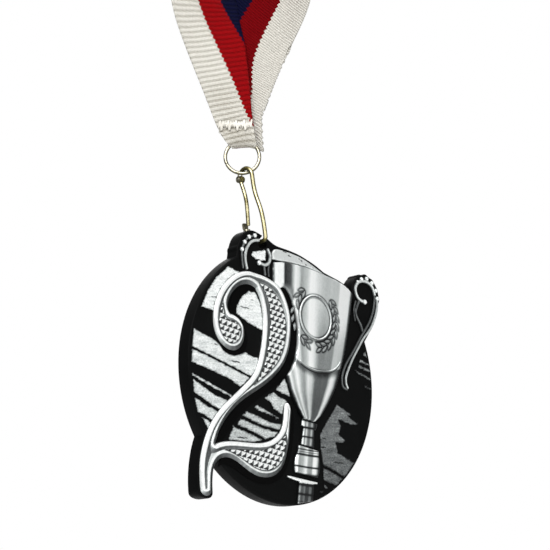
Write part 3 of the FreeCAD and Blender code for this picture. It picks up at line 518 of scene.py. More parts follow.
# woven band: the route's values smoothed along its run, then a grid of rows square to the run
def makeRibbon(settings, route):
    table = np.array(route, float)
    control = onRibbon(table[:, 0], table[:, 1], table[:, 2])
    line, marks = evenly(splineThrough(control, "ribbonLine"), settings["step"])
    share = marks / marks[-1]
    knots = runLength(control)
    knots = knots / knots[-1]
    spin, fold, tuck = (np.interp(share, knots, table[:, k]) for k in (3, 4, 5))
    kernel = np.hanning(settings["smoothOver"])[1:-1]
    kernel /= kernel.sum()
    reach = len(kernel) // 2
    spin, fold, tuck = (np.convolve(np.pad(v, reach, mode="edge"), kernel, "valid")
                        for v in (spin, fold, tuck))
    along = unitRows(np.gradient(line, axis=0))
    # at the fold round the ring the run turns towards the viewer, so the width stays level there
    flat = np.cross(np.broadcast_to(toward, along.shape), along)
    bend, toEnd = settings["bend"], marks[-1] - marks
    level = np.where((marks < bend)[:, None], -across,
                     np.where((marks > marks[-1] - bend)[:, None], across, flat))
    near = np.clip(np.minimum(marks, toEnd) / bend * 2 - 1, 0, 1)[:, None]
    flat = unitRows(level * (1 - near) + flat * near)
    outward = np.cross(along, flat)
    turned = np.radians(spin)[:, None]
    wide = flat * np.cos(turned) - outward * np.sin(turned)
    thick = np.cross(along, wide)
    # distance from the band's outer edge goes to and fro between folds, each layer a little behind the last
    run = np.linspace(0, settings["width"], settings["across"] + 1)[None, :]
    width = fold[:, None]
    fromEdge = run - tuck[:, None]
    layer = np.floor(fromEdge / width)
    rest = fromEdge - layer * width
    sideways = np.where(layer % 2 == 0, rest, width - rest)
    nearest = np.round(fromEdge / width)
    turnAt = (fromEdge - nearest * width) / settings["turnLength"]
    behind = np.where(nearest > 0, nearest - 1 + smoothStep(turnAt, -0.5, 0.5), 0.0)
    behind = behind + 0.6 * smoothStep(-fromEdge, 0.0, settings["turnLength"])
    inset = settings["behindInset"] * smoothStep(fromEdge - width, 0, 2.5)
    sideways = sideways * (1 - 2 * inset / width) + inset
    ends = np.minimum(marks, toEnd)[:, None]
    foldGap = settings["foldGap"]
    gap = foldGap + (settings["layerGap"] - foldGap) * smoothStep(ends, bend, 2 * bend)
    depth = behind * gap + 0.18 * np.sin(run * 0.75 + marks[:, None] * 0.13) * smoothStep(ends, 10, 34)
    # the fabric round the ring sags beside the wire, more on its right
    aside = (width / 2 - sideways) * np.where(marks < marks[-1] / 2, -1, 1)[:, None]
    close = np.maximum(smoothStep(marks, 13, 3), smoothStep(toEnd, 8, 0))[:, None]
    sink = 0.05 * aside ** 2 * np.where(aside > 0, 1.6, 0.5) * close
    spots = (line[:, None, :] + wide[:, None, :] * (width / 2 - sideways)[..., None]
             - thick[:, None, :] * depth[..., None] - upward * sink[..., None])
    rows, cols = spots.shape[:2]
    ids = np.arange(rows * cols).reshape(rows, cols)
    faces = np.stack([ids[:-1, :-1], ids[1:, :-1], ids[1:, 1:], ids[:-1, 1:]], -1).reshape(-1, 4)
    # coarse: 1 on the left strap; pinch: where painted shade darkens the fold round the ring and the pleats
    # by the thread block; weft and warp: places on the band
    coarse = smoothStep(marks, marks[-1] * 0.6, marks[-1] * 0.4)[:, None]
    creased = np.maximum(0.8 * smoothStep(marks, 20, 12), 0.5 * np.exp(-((marks - 21) / 6) ** 2))[:, None]
    pinch = creased * np.exp(-((run - 4.0) / 5.0) ** 2)
    fields = (("coarse", coarse), ("pinch", pinch), ("weft", marks[:, None]), ("warp", run))
    attributes = [(label, np.broadcast_to(values, (rows, cols)).ravel()) for label, values in fields]
    obj = meshObject("neckRibbon", spots.reshape(-1, 3) * mm, faces, attributes, sharp=0)
    solid = obj.modifiers.new("thickness", "SOLIDIFY")
    solid.thickness = settings["thickness"] * mm
    solid.offset = 0.0
    return obj, line, marks[-1]


# woven band: stripes by distance across with toothed borders, ribs and threads from both directions, with
# painted shade in the rib grooves, on the right strap's red and in the fold and pleats
def ribbonFinish(settings):
    f = Finish("wovenRibbon")
    warp, weft, coarse, pinch = (f.attribute(name) for name in ("warp", "weft", "coarse", "pinch"))
    ribWave = f.wave(weft, settings["ribPitch"])
    fuzz = f.noise(f.objectPlace(), 2600, 5.0, 0.7)
    edge = f.math("ADD", warp, f.math("MULTIPLY", ribWave, settings["scallop"]))
    edge = f.math("ADD", edge, f.ranged(fuzz, -0.16, 0.16))
    isRed = f.math("GREATER_THAN", edge, settings["whiteTo"])
    isBlue = f.math("GREATER_THAN", edge, settings["redTo"])
    # painted shade: the right strap's red is darker than the left strap's
    red = f.mix(coarse, settings["redInShade"], settings["red"])
    stripes = f.mix(isBlue, f.mix(isRed, settings["white"], red), settings["blue"])
    broad = f.math("MULTIPLY", ribWave, f.math("MULTIPLY", coarse, 0.8))
    slanted = f.math("ADD", weft, f.math("MULTIPLY", warp, settings["fineSlant"]))
    fine = f.wave(slanted, settings["finePitch"])
    fineShare = f.math("SUBTRACT", 0.8, f.math("MULTIPLY", coarse, 0.55))
    rib = f.math("ADD", broad, f.math("MULTIPLY", fine, fineShare))
    thread = f.wave(warp, settings["threadPitch"])
    crossed = f.math("MULTIPLY", f.math("MULTIPLY", thread, rib), 0.5)
    cloth = f.math("ADD", f.math("MULTIPLY", rib, 0.7), crossed)
    cloth = f.math("ADD", cloth, f.ranged(fuzz, -0.35, 0.35))
    grooved = f.ranged(cloth, 0.85, 0.0, -1.0, 0.6)
    # painted shade darkening the rib grooves
    shaded = f.mix(grooved, stripes, settings["grooveShade"], blend_type="MULTIPLY")
    # painted shade in the fold round the ring and in the pleats by the thread block
    creaseShaded = f.math("MULTIPLY", pinch, f.ranged(cloth, 0.95, 0.35, -1.0, 0.5))
    colour = f.mix(creaseShaded, shaded, settings["creaseShade"], blend_type="MULTIPLY")
    f.join(colour, f.shader.inputs["Base Color"])
    f.join(f.ranged(fuzz, 0.62, 0.82), f.shader.inputs["Roughness"])
    f.shader.inputs["Specular IOR Level"].default_value = 0.04
    f.join(f.bump(cloth, 0.9, 0.0002), f.shader.inputs["Normal"])
    return f.material


ribbonNodes = ["ribbon_strap_front", "ribbon_strap_back", "ribbon_twist_left", "ribbon_twist_right",
               "ribbon_neck_loop", "ribbon_ring_fold"]
neckRibbon, ribbonLine, ribbonLength = makeRibbon(ribbonSet, ribbonRoute)
dressed(neckRibbon, "ribbon", "ribbon_weave", ribbonFinish(ribbonSet), *ribbonNodes)
print("ribbon made, length mm", round(ribbonLength, 1))


# thread block that sews the straps together
threadSet = {"rows": 13, "left": -7.4, "right": 1.7, "low": 12.1, "high": 14.3, "radius": 0.27,
             "front": 2.1, "back": -2.3, "perStitch": 7, "arch": 0.34}


# round thread along a line: circle of points carried square to the line's run, nearly closed at both ends
def threadAlong(line, radius, sides):
    along = unitRows(np.gradient(line, axis=0))
    helper = np.where(np.abs(along[:, 2:3]) > 0.9, across[None, :], upward[None, :])
    first = unitRows(np.cross(along, helper))
    second = np.cross(along, first)
    turn = np.linspace(0, 2 * math.pi, sides, endpoint=False)
    thin = np.ones(len(line))
    thin[0] = thin[-1] = 0.05
    out = first[:, None, :] * np.cos(turn)[None, :, None] + second[:, None, :] * np.sin(turn)[None, :, None]
    spots = line[:, None, :] + radius * thin[:, None, None] * out
    return spots.reshape(-1, 3) * mm, tubeFaces(len(line), sides)


# zigzag of stitches on both sides: height goes between low and high, each stitch arched off the band
def makeBarTack(settings):
    count = settings["rows"] * 2
    step = np.arange(count)
    t = np.linspace(settings["left"], settings["right"], count)
    z = np.where(step % 2 == 0, settings["low"], settings["high"])
    z = z + 0.55 * np.sin(step * 2.1) + 0.3 * np.sin(step * 5.3)
    spots, faces, base = [], [], 0
    fine = np.linspace(0, count - 1, count * settings["perStitch"])
    swing = np.abs((fine % 1) - 0.5) * 2
    for depth in (settings["front"], settings["back"]):
        line = onRibbon(np.interp(fine, step, t), np.interp(fine, step, z),
                        depth + settings["arch"] * (1 - swing ** 2))
        v, f = threadAlong(line, settings["radius"], 7)
        spots.append(v)
        faces.append(f + base)
        base += len(v)
    return meshObject("barTackThread", np.concatenate(spots), np.concatenate(faces), sharp=0)


# sewing thread: soft tint, ply lines along the stitch, a little sheen
def threadFinish():
    f = Finish("sewingThread")
    ply = f.noise(f.objectPlace((1, 1, 3)), 4200, 3.0)
    tint = f.noise(f.objectPlace(), 300, 2.0)
    colour = f.ramp(tint, [(0.3, (0.58, 0.55, 0.48)), (0.7, (0.78, 0.76, 0.70))])
    f.join(colour, f.shader.inputs["Base Color"])
    f.join(f.ranged(ply, 0.5, 0.75), f.shader.inputs["Roughness"])
    f.shader.inputs["Sheen Weight"].default_value = 0.3
    f.join(f.bump(ply, 0.6, 0.00008), f.shader.inputs["Normal"])
    return f.material


dressed(makeBarTack(threadSet), "ribbon", "thread", threadFinish(), "ribbon_bar_tack")
print("thread made")

# ring, hook, gate, catch and rivet
ringSet = {"middle": (0.235, -0.231, -129.570), "radius": 4.7, "wire": 0.5, "splitAt": 205.0, "splitGap": 1.4}
hookSet = {"wire": 0.60, "gateWire": 0.55, "archRadius": 2.35, "archY": 1.05, "archS": 19.25, "pinLift": 0.78,
           "pivot": (4.304, -1.938, -153.458), "rivet": (1.142, 1.461, -135.526)}
hookUp = np.array([-0.17365, 0.0, 0.98481])
hookAcross = np.array([0.98481, 0.0, 0.17365])
hookOrigin = np.array(hookSet["pivot"]) - hookUp * hookSet["pinLift"]


# place in the hook's own plane to the model's frame, mm
def onHook(points):
    p = np.asarray(points, float)
    return hookOrigin + p[:, :1] * np.array([0.0, 1.0, 0.0]) + p[:, 1:] * hookUp


# points of an arc in the hook's plane
def hookArc(middleY, middleS, radius, start, end, count):
    turn = np.radians(np.linspace(start, end, count))
    return np.stack([middleY + radius * np.cos(turn), middleS + radius * np.sin(turn)], -1)


turn = np.radians(np.linspace(ringSet["splitAt"] + ringSet["splitGap"],
                              ringSet["splitAt"] + 360 - ringSet["splitGap"], 150))[:, None]
ringLine = np.array(ringSet["middle"]) + ringSet["radius"] * (across * np.cos(turn) + upward * np.sin(turn))
jumpRing = gathered("jumpRingWire", [roundWire(ringLine, ringSet["wire"], toward, 18, cap=0.12)])
dressed(jumpRing, "ring", "ring_brass", ringGold, "jump_ring")

arch = hookArc(hookSet["archY"], hookSet["archS"] + 0.02, hookSet["archRadius"], 46, 180, 34)
leg = smoothLine([(-1.3, 19.25), (-1.32, 17.4), (-1.5, 15.0), (-2.1, 12.4), (-2.85, 9.8), (-3.3, 7.0),
                  (-3.45, 4.6), (-3.45, 1.88)], 0.3)[1:]
foot = np.concatenate([hookArc(-2.35, 1.88, 1.1, 184, 270, 12), hookArc(2.25, 1.88, 1.1, 270, 358, 12)])
rear = np.array([(3.35, 2.6), (3.35, 3.5), (3.35, 4.3)])
hookLine = smoothLine(onHook(np.concatenate([arch, leg, foot, rear])), 0.16)
cheek = [(0.02, -0.2), (0.8, -0.2), (0.93, -0.12), (0.95, 0.0), (0.93, 0.12), (0.8, 0.2), (0.02, 0.2)]
rivetAt = np.array(hookSet["rivet"])
prong = onHook(hookArc(hookSet["archY"], hookSet["archS"], hookSet["archRadius"] + 0.12, 16, 44, 14))
hookWire = gathered("hookWireBent", [roundWire(hookLine, hookSet["wire"], hookAcross, 18, cap=0.5),
                                     roundWire(prong + hookAcross * 0.66, 0.2, hookAcross, 12),
                                     roundWire(prong - hookAcross * 0.66, 0.2, hookAcross, 12),
                                     turnedPart(cheek, rivetAt + hookAcross * 0.76, hookAcross),
                                     turnedPart(cheek, rivetAt - hookAcross * 0.76, hookAcross)])
dressed(hookWire, "hook", "hook_brass", hookGold, "hook_wire")

gateLine = smoothLine(onHook([(3.4, 18.44), (2.95, 16.9), (2.25, 13.6), (2.3, 9.0), (2.55, 6.1)]), 0.16)
eyeTurn = np.linspace(0, 2 * math.pi, 15)
eye = np.stack([0.76 + 0.30 * np.cos(eyeTurn), 0.46 * np.sin(eyeTurn)], -1)
gate = gathered("gateSpring", [roundWire(gateLine, hookSet["gateWire"], hookAcross, 18, cap=0.6),
                               turnedPart(eye, rivetAt, hookAcross)])
dressed(gate, "gate", "hook_brass", hookGold, "hook_gate")

rivetProfile = [(0.02, -1.3), (0.38, -1.27), (0.66, -1.12), (0.74, -0.98), (0.40, -0.96), (0.40, 0.96),
                (0.74, 0.98), (0.66, 1.12), (0.38, 1.27), (0.02, 1.3)]
rivet = gathered("rivetPin", [turnedPart(rivetProfile, rivetAt, hookAcross)])
dressed(rivet, "hook", "hook_fittings", fittingGold, "hook_rivet")


# upright plate: a squared-off oval repeated at a few depths and shrunk towards its front and back
def roundedPlate(centre, wide, tall, thin, wideWay, tallWay, thinWay):
    turn = np.linspace(0, 2 * math.pi, 40, endpoint=False)
    corner, plateTone = 2 / 5, 0.62
    cosine = np.sign(np.cos(turn)) * np.abs(np.cos(turn)) ** corner
    sine = np.sign(np.sin(turn)) * np.abs(np.sin(turn)) ** corner
    depth = np.array([-1, -1, -0.9, -0.6, 0.6, 0.9, 1, 1])
    size = np.array([0.02, 0.86, 0.96, 1, 1, 0.96, 0.86, 0.02])
    spots = (np.asarray(centre) + (cosine[None, :] * size[:, None] * wide)[..., None] * wideWay
             + (sine[None, :] * size[:, None] * tall)[..., None] * tallWay
             + (depth * thin)[:, None, None] * thinWay)
    return spots.reshape(-1, 3), tubeFaces(len(depth), len(turn)), np.full(spots[..., 0].size, plateTone)


# catch: a short cup crimped on the wire's rear end, and a plate that stands behind the gate's tip
catchProfile = [
    (0.64, 0.0), (0.90, 0.02), (0.97, 0.14), (0.97, 0.9), (0.9, 1.06), (0.74, 1.1), (0.64, 1.06),
    (0.64, 0.0)]
catch = gathered("catchCup", [turnedPart(catchProfile, onHook([(3.35, 3.9)])[0], hookUp),
                              roundedPlate(onHook([(3.81, 5.85)])[0], 1.0, 0.95, 0.21, hookAcross, hookUp,
                                           np.array([0.0, 1.0, 0.0]))])
dressed(catch, "hook", "hook_fittings", fittingGold, "hook_catch")
print("ring and hook made")

# medal body: black slab with a soft front and back edge and a shallow field at the back
bodySet = {"thick": 4.26, "round": 0.5, "backLip": 1.4, "backSink": 0.22, "step": 0.36}


# how far a rounded edge falls back: radius less the height of its circle
def roundedEdge(distance, radius):
    near = np.clip(distance, 0, radius)
    return radius - np.sqrt(np.maximum(radius ** 2 - (radius - near) ** 2, 0))


# back of the slab: its thickness, less a shallow field inside the lip
def bodyBack(x, z, d):
    field = smoothStep(d, bodySet["backLip"], bodySet["backLip"] + 0.4)
    return bodySet["thick"] - bodySet["backSink"] * field


# quarter-round edges: outward by radius times sine, back by radius times one less cosine
def quarterRound(radius, thick, count):
    turns = np.linspace(0, math.pi / 2, count + 1)[1:]
    out, sink = radius * np.sin(turns), radius * (1 - np.cos(turns))
    return list(zip(out, sink)) + list(zip(out[::-1], thick - sink[::-1]))


medalBody = raised("medalBody", faceOutline("medal_body", 0.0), bodySet["step"],
                   levelAt(0.0), bodyBack, levelAt(0.0),
                   edgeRows=quarterRound(bodySet["round"], bodySet["thick"], 5), inset=bodySet["round"])
dressed(medalBody, "medal", "black_body", blackBody, "medal_body")
print("body made")

# brush strokes: thin silver paint, ragged ends, streaks along the stroke
strokeSet = {"height": 0.15, "step": 0.24, "sunk": 0.06, "tone": 0.80}


# how far a stroke's edge is eaten away: two ripples drawn out along the stroke
def strokeRagged(x, z):
    along, athwart = x + 0.12 * z, z - 0.12 * x
    return 0.04 + 0.12 * ripple(along * 0.5, athwart, 0.9, 4) + 0.13 * ripple(along * 0.9, athwart, 0.42, 5)


# stroke's tone: a base, less its worn edge and the scratches, plus streaks along the stroke
def strokeTone(x, z, d, nx, nz):
    along, athwart = x + 0.12 * z, z - 0.12 * x
    streak = 0.05 * ripple(along * 0.3, athwart, 1.6, 7) + 0.05 * ripple(along * 0.12, athwart, 0.5, 8)
    scratch = smoothStep(ripple(along * 0.10, athwart, 0.9, 9), 0.95, 1.25)
    return strokeSet["tone"] + 0.004 * (z - 5) + streak - 0.30 * (1 - smoothStep(d, 0.0, 0.3)) - 0.7 * scratch


for name, node, lightness in (("brushStrokesLeft", "brush_strokes_left", 0.06),
                              ("brushStrokesMiddle", "brush_strokes_middle", 0.0),
                              ("brushStrokesRight", "brush_strokes_right", -0.29)):
    piece = raised(name, faceOutline(node, 0.0), strokeSet["step"],
                   levelAt(-strokeSet["height"]), levelAt(strokeSet["sunk"]),
                   lambda x, z, d, nx, nz, lightness=lightness: strokeTone(x, z, d, nx, nz) + lightness,
                   ragged=strokeRagged)
    dressed(piece, "medal", "brushed_silver", strokeSilver, node)
print("strokes made")

# the place figure: bevelled rim round sunken fields, with pyramid panels in the fields
figureSet = {"height": 0.78, "foot": 0.12, "fieldLevel": 0.42, "bevel": 0.72, "bevelMore": 0.6, "step": 0.15,
             "sunk": 0.06, "shadeRight": 0.75, "shadeUp": -0.65, "tailSink": 0.22, "fieldTone": 0.30}
panelNames = [("texturePanelStroke", "numeral_panel_stroke"), ("texturePanelBall", "numeral_panel_ball"),
              ("texturePanelFoot", "numeral_panel_foot")]
panelOutlines = {node: faceOutline(node, -0.7) for name, node in panelNames}
allPanels = np.concatenate(list(panelOutlines.values()))


# how far an edge faces away from the light, which comes from the upper left
def shadeSide(nx, nz):
    return figureSet["shadeRight"] * nx + figureSet["shadeUp"] * nz


# bevel wider on the right and lower sides
def bevelWidth(nx, nz):
    return figureSet["bevel"] + figureSet["bevelMore"] * np.clip(shadeSide(nx, nz), -0.4, 1)


# height: a quarter sine over the bevel, less the sunken fields and the tail beyond the bevel
def figureFront(x, z, d, nx, nz):
    bevel, foot = bevelWidth(nx, nz), figureSet["foot"]
    rise = foot + (figureSet["height"] - foot) * np.sin(np.clip(d / bevel, 0, 1) * math.pi / 2)
    field = smoothStep(insideBy(x, z, allPanels), -0.35, 0.15)
    tail = smoothStep(d, bevel + 0.5, bevel + 1.1) * (1 - field)
    return -(rise - (figureSet["height"] - figureSet["fieldLevel"]) * field - figureSet["tailSink"] * tail)


# tone: the bevel by how far it faces the light, a bright crest, the fields in their own tone, and the tail as
# painted shade and light of a groove, darker where its edge faces the light
def figureTone(x, z, d, nx, nz):
    bevel = bevelWidth(nx, nz)
    lit = 0.5 - 0.5 * shadeSide(nx, nz)
    slope = 0.26 + 0.80 * lit
    crest = 1.0 - 0.05 * (1 - lit)
    tone = slope + (crest - slope) * smoothStep(d, bevel - 0.22, bevel + 0.05)
    away = insideBy(x, z, allPanels)
    inField = smoothStep(away, -0.42, -0.05)
    tone = tone + (figureSet["fieldTone"] - tone) * inField
    tail = smoothStep(d, bevel + 0.55, bevel + 0.85) * (1 - inField)
    tone = tone + tail * (0.80 - 0.52 * lit - tone)
    return tone + 0.03 * ripple(x, z, 1.6, 11)


figure = raised("placeFigure", faceOutline("numeral_figure", 0.0), figureSet["step"], figureFront,
                levelAt(figureSet["sunk"]), figureTone, sharp=50.0)
dressed(figure, "medal", "silver_relief", reliefSilver, "numeral_figure")

panelSet = {"pitchX": 1.85, "pitchZ": 1.50, "low": 0.46, "tall": 0.42, "step": 0.11, "back": -0.3}


# pyramids in staggered rows: height falls from each middle by the larger of the two sideways shares
def pyramid(x, z):
    row = np.floor(z / panelSet["pitchZ"])
    u = (x / panelSet["pitchX"] + 0.5 * (row % 2)) % 1 - 0.5
    v = z / panelSet["pitchZ"] - row - 0.5
    height = 1 - 2 * np.maximum(np.abs(u), np.abs(v))
    side = np.abs(u) > np.abs(v)
    # painted light: faces toward the upper left lighter, faces toward the lower right darker, the tops a
    # little lighter
    tone = np.where(side, np.where(u < 0, 0.90, 0.30), np.where(v > 0, 0.98, 0.16))
    return height, tone + 0.12 * (height - 0.5)


# pyramids flattened towards the panel's edge
def panelFront(x, z, d, nx, nz):
    return -(panelSet["low"] + panelSet["tall"] * pyramid(x, z)[0] * smoothStep(d, 0.0, 0.3))


for name, node in panelNames:
    piece = raised(name, panelOutlines[node], panelSet["step"], panelFront, levelAt(panelSet["back"]),
                   lambda x, z, d, nx, nz: pyramid(x, z)[1] * smoothStep(d, -0.1, 0.25), sharp=25.0)
    dressed(piece, "medal", "figure_texture", reliefSilver, node)
nodes["numeral_shadow"].data.materials.clear()
nodes["numeral_shadow"].data.materials.append(blackPad)
print("figure made")

# the cup
cupSet = {"step": 0.22, "axis": 8.2, "sunk": 0.06, "under": 0.1, "chord": 16.0, "rise": 0.8, "rimOfBowl": 0.4}
medallionSet = {"x": 8.7, "z": 18.5, "inner": 5.75, "outer": 6.5, "between": 6.12, "proud": 0.22}
wreathOutline = faceOutline("cup_wreath", -1.35)
# painted reflection bands: tone across the bowl, share from its left edge to its right edge, above the waist
# band
upperReflectionBands = [
    (0.0, 0.35), (0.015, 0.97), (0.11, 0.95), (0.125, 0.22), (0.19, 0.30), (0.215, 0.62),
    (0.25, 0.96), (0.29, 0.86), (0.32, 0.62), (0.39, 0.76), (0.44, 1.0), (0.49, 0.98), (0.52, 0.90),
    (0.58, 0.80), (0.64, 0.74), (0.71, 0.78), (0.79, 0.78), (0.81, 0.82), (0.825, 1.08), (0.90, 1.08),
    (0.955, 1.0), (0.975, 0.4), (1.0, 0.08)]
# painted reflection bands below the waist band, by the same share
lowerReflectionBands = [
    (0.0, 0.1), (0.045, 1.0), (0.118, 0.68), (0.194, 1.02), (0.27, 0.70), (0.34, 0.60), (0.414, 0.94),
    (0.49, 0.80), (0.565, 0.42), (0.637, 0.40), (0.71, 0.42), (0.785, 0.41), (0.825, 0.8),
    (0.86, 1.05), (0.90, 0.95), (0.93, 0.72), (0.975, 0.14), (1.0, 0.08)]


bowlSet = {
    "leftEdge": [(-10.4, 7.4), (-7.6, 4.8), (-3.4, 1.6), (3.0, -1.6), (12.0, -5.0), (21.0, -7.2),
                 (31.0, -8.4)],
    "rightEdge": [(-10.4, 11.8), (-8.4, 13.8), (-4.0, 16.6), (0.8, 19.0), (6.0, 20.6), (11.0, 21.7),
                  (18.0, 22.6), (30.0, 23.4)],
    "barFrom": 0.1, "barTo": 0.23, "barEnd": (23.5, 25.5), "underBar": 0.55, "waist": 4.2, "waistBend": 0.02,
    "waistMiddle": 9, "shadeAt": 3.5, "shadeBend": 0.028, "shadeMiddle": 9.5, "shade": 0.45, "rightShade": 0.26,
    "discTone": 0.03, "discRadius": 5.6, "ringRadius": 6.65, "leafGap": 0.30, "leafShade": 0.58}


# share of the way from the bowl's left edge to its right one, both edges given at a few heights
def bowlShare(x, z):
    left = np.interp(z, *np.array(bowlSet["leftEdge"]).T)
    right = np.interp(z, *np.array(bowlSet["rightEdge"]).T)
    return (x - left) / (right - left)


# tone by share above and below a bent waist line: painted reflection bands, painted shade on the right of the
# upper bowl, under the waist and towards the bowl's foot, less the grooves round the medallion and the leaves
def bowlTone(x, z, d, nx, nz):
    b = bowlSet
    share = bowlShare(x, z)
    upper = np.interp(share, *np.array(upperReflectionBands).T)
    lower = np.interp(share, *np.array(lowerReflectionBands).T)
    fade = smoothStep(z, *b["barEnd"])
    bar = (share > b["barFrom"]) & (share < b["barTo"])
    upper = np.where(bar, upper * fade + b["underBar"] * (1 - fade), upper)
    level = b["waist"] + b["waistBend"] * (x - b["waistMiddle"]) ** 2
    waist = smoothStep(z, level - 0.15, level + 0.15)
    shadedRight = 1 - b["rightShade"] * smoothStep(share, 0.5, 0.6) * smoothStep(z, 25, 10)
    shadeAt = b["shadeAt"] + b["shadeBend"] * (x - b["shadeMiddle"]) ** 2
    shaded = 1 - b["shade"] * smoothStep(z, shadeAt - 2.4, shadeAt - 0.4)
    tone = upper * shadedRight * waist + lower * (1 - waist) * (1 - 0.12 * smoothStep(z, 0, -7)) * shaded
    radius = np.hypot(x - medallionSet["x"], z - medallionSet["z"])
    tone = tone + smoothStep(radius, b["discRadius"] + 0.3, b["discRadius"]) * b["discTone"]
    groove = np.exp(-((radius - b["discRadius"]) / 0.2) ** 2) * 0.42
    groove = groove + np.exp(-((radius - b["ringRadius"]) / 0.22) ** 2) * 0.4
    leaves = insideBy(x, z, wreathOutline)
    outline = np.exp(-(np.minimum(leaves, 0) / b["leafGap"]) ** 2) * b["leafShade"]
    return tone - groove - outline + 0.015 * ripple(x, z * 0.2, 1.4, 3)


# height of the bowl's curved front over the face: a wide arc that peaks on the cup's axis
def bowlHeight(x):
    chord, rise = cupSet["chord"], cupSet["rise"]
    dome = (chord ** 2 + rise ** 2) / (2 * rise)
    return cupSet["rimOfBowl"] + rise + np.sqrt(np.maximum(dome ** 2 - (x - cupSet["axis"]) ** 2, 0)) - dome


# bowl's front: the arc with its edge rounded off
def bowlFront(x, z, d, nx, nz):
    return -bowlHeight(x) + roundedEdge(d, 0.35)


cupBowl = raised("cupBowl", faceOutline("cup_bowl", 0.0), cupSet["step"], bowlFront,
                 levelAt(cupSet["sunk"]), bowlTone)
dressed(cupBowl, "medal", "cup_silver", cupSilver, "cup_bowl")


# front at one height with rounded edges
def raisedRound(height, soft):
    return lambda x, z, d, nx, nz: -(height - roundedEdge(d, soft))


rimSet = {"step": 0.16, "height": 0.62, "soft": 0.4, "dashes": [(-4.6, 1.5), (0, 2.2), (5, 1.6)],
          "between": 0.25, "lineAt": 33.2, "lineSlope": 0.05, "lineHalf": 0.5}


# rim: light, with painted shade darkening it towards the right, and broken dark dashes along one line
def rimTone(x, z, d, nx, nz):
    dash = ripple(x * 0.5, z * 2.2, 1.2, 21) + 0.5 * ripple(x, z, 0.8, 22)
    spots = sum(np.exp(-((x - at) / reach) ** 2) for at, reach in rimSet["dashes"]) + rimSet["between"]
    onLine = np.abs(z - rimSet["lineAt"] + rimSet["lineSlope"] * x) < rimSet["lineHalf"]
    return 0.84 - 0.10 * smoothStep(x, 2, 20) - 0.75 * (dash > 0.75) * spots * onLine


cupRim = raised("cupRim", faceOutline("cup_rim", 0.0), rimSet["step"],
                raisedRound(rimSet["height"], rimSet["soft"]), levelAt(cupSet["sunk"]), rimTone)
dressed(cupRim, "medal", "cup_silver", cupSilver, "cup_rim")


pedestalSet = {"step": 0.14, "slope": 0.10, "middle": 10.5, "sag": 0.10, "sagMiddle": 10.3, "sagReach": 4.5,
               "lightBand": (-27.6, -26.2), "light": 0.97}


# pedestal: upright highlights by column, crossed by dark lines that tilt up to the right
def pedestalTone(columns, lines):
    p = pedestalSet
    low, high = p["lightBand"]

    def tone(x, z, d, nx, nz):
        sag = p["sag"] * (1 - ((x - p["sagMiddle"]) / p["sagReach"]) ** 2)
        level = z - p["slope"] * (x - p["middle"]) + sag
        value = np.interp(x, *np.array(columns).T)
        value = np.where((level > low) & (level < high), p["light"], value)
        for height, width, depth in lines:
            value = value * (1 - depth * np.exp(-((level - height) / width) ** 2))
        return value * smoothStep(d, -0.05, 0.2)
    return tone


stemColumns = [
    (6.7, 0.3), (7.4, 0.98), (8.0, 0.88), (8.5, 0.52), (9.0, 0.9), (9.5, 0.58), (10.0, 0.44),
    (10.5, 0.54), (11.0, 0.76), (11.5, 0.4), (12.0, 0.14), (12.6, 0.2), (13.2, 0.6)]
stemLines = [(-10.4, 0.3, 0.6), (-12.35, 0.28, 0.97), (-14.9, 0.24, 0.85), (-17.5, 0.3, 0.85)]
knopColumns = [
    (5.2, 0.4), (5.7, 1.05), (6.4, 1.0), (7.06, 0.62), (7.75, 0.66), (8.4, 0.7), (9.1, 0.88),
    (9.8, 1.0), (10.5, 0.66), (11.2, 0.62), (11.9, 0.62), (12.4, 1.0), (13.25, 1.05), (13.9, 0.78),
    (14.6, 0.24), (15.3, 0.08)]
knopLines = [
    (-18.5, 0.16, 0.8), (-19.15, 0.12, 0.5), (-19.9, 0.26, 0.97), (-23.2, 0.22, 0.92),
    (-25.4, 0.4, 0.9)]
footColumns = [
    (7.2, 0.2), (8.0, 0.72), (8.5, 0.5), (9.0, 0.32), (9.5, 0.36), (10.0, 0.52), (10.5, 0.27),
    (11.5, 0.27), (12.0, 0.5), (12.5, 0.42), (13.0, 0.15), (14.0, 0.1)]
footLines = [(-28.0, 0.35, 0.9), (-30.6, 0.3, 0.85), (-32.6, 0.2, 0.3)]
for name, node, height, soft, columns, lines in (
        ("cupStem", "cup_stem", 0.66, 0.5, stemColumns, stemLines),
        ("cupKnop", "cup_knop", 0.86, 0.7, knopColumns, knopLines),
        ("cupFoot", "cup_foot", 0.66, 0.4, footColumns, footLines)):
    piece = raised(name, faceOutline(node, 0.0), pedestalSet["step"], raisedRound(height, soft),
                   levelAt(cupSet["sunk"]), pedestalTone(columns, lines))
    dressed(piece, "medal", "cup_silver", cupSilver, node)


# closed outline as sides between neighbouring points
def closedSides(points):
    return np.stack([points, np.roll(points, -1, axis=0)], 1)


# medallion: a low ring, lit from its upper left
spin = np.linspace(0, 2 * math.pi, 120, endpoint=False)
circle = np.stack([np.cos(spin), np.sin(spin)], -1)
middle = np.array([medallionSet["x"], medallionSet["z"]])
ringSides = np.concatenate([closedSides(middle + circle * medallionSet["outer"]),
                            closedSides(middle + circle * medallionSet["inner"])])


# back of a piece on the bowl: a little below the bowl's own front
def underBowl(x, z, d):
    return -bowlHeight(x) + cupSet["under"]


# front of a piece on the bowl: proud of it, with rounded edges
def proudOfBowl(proud, soft):
    return lambda x, z, d, nx, nz: -(bowlHeight(x) + proud - roundedEdge(d, soft))


# medallion's tone: lighter where its outer or inner wall faces the upper left
def medallionTone(x, z, d, nx, nz):
    turned = (-(x - medallionSet["x"]) + (z - medallionSet["z"])) / 9.0
    radius = np.hypot(x - medallionSet["x"], z - medallionSet["z"])
    return 0.66 + 0.28 * turned * np.sign(radius - medallionSet["between"])


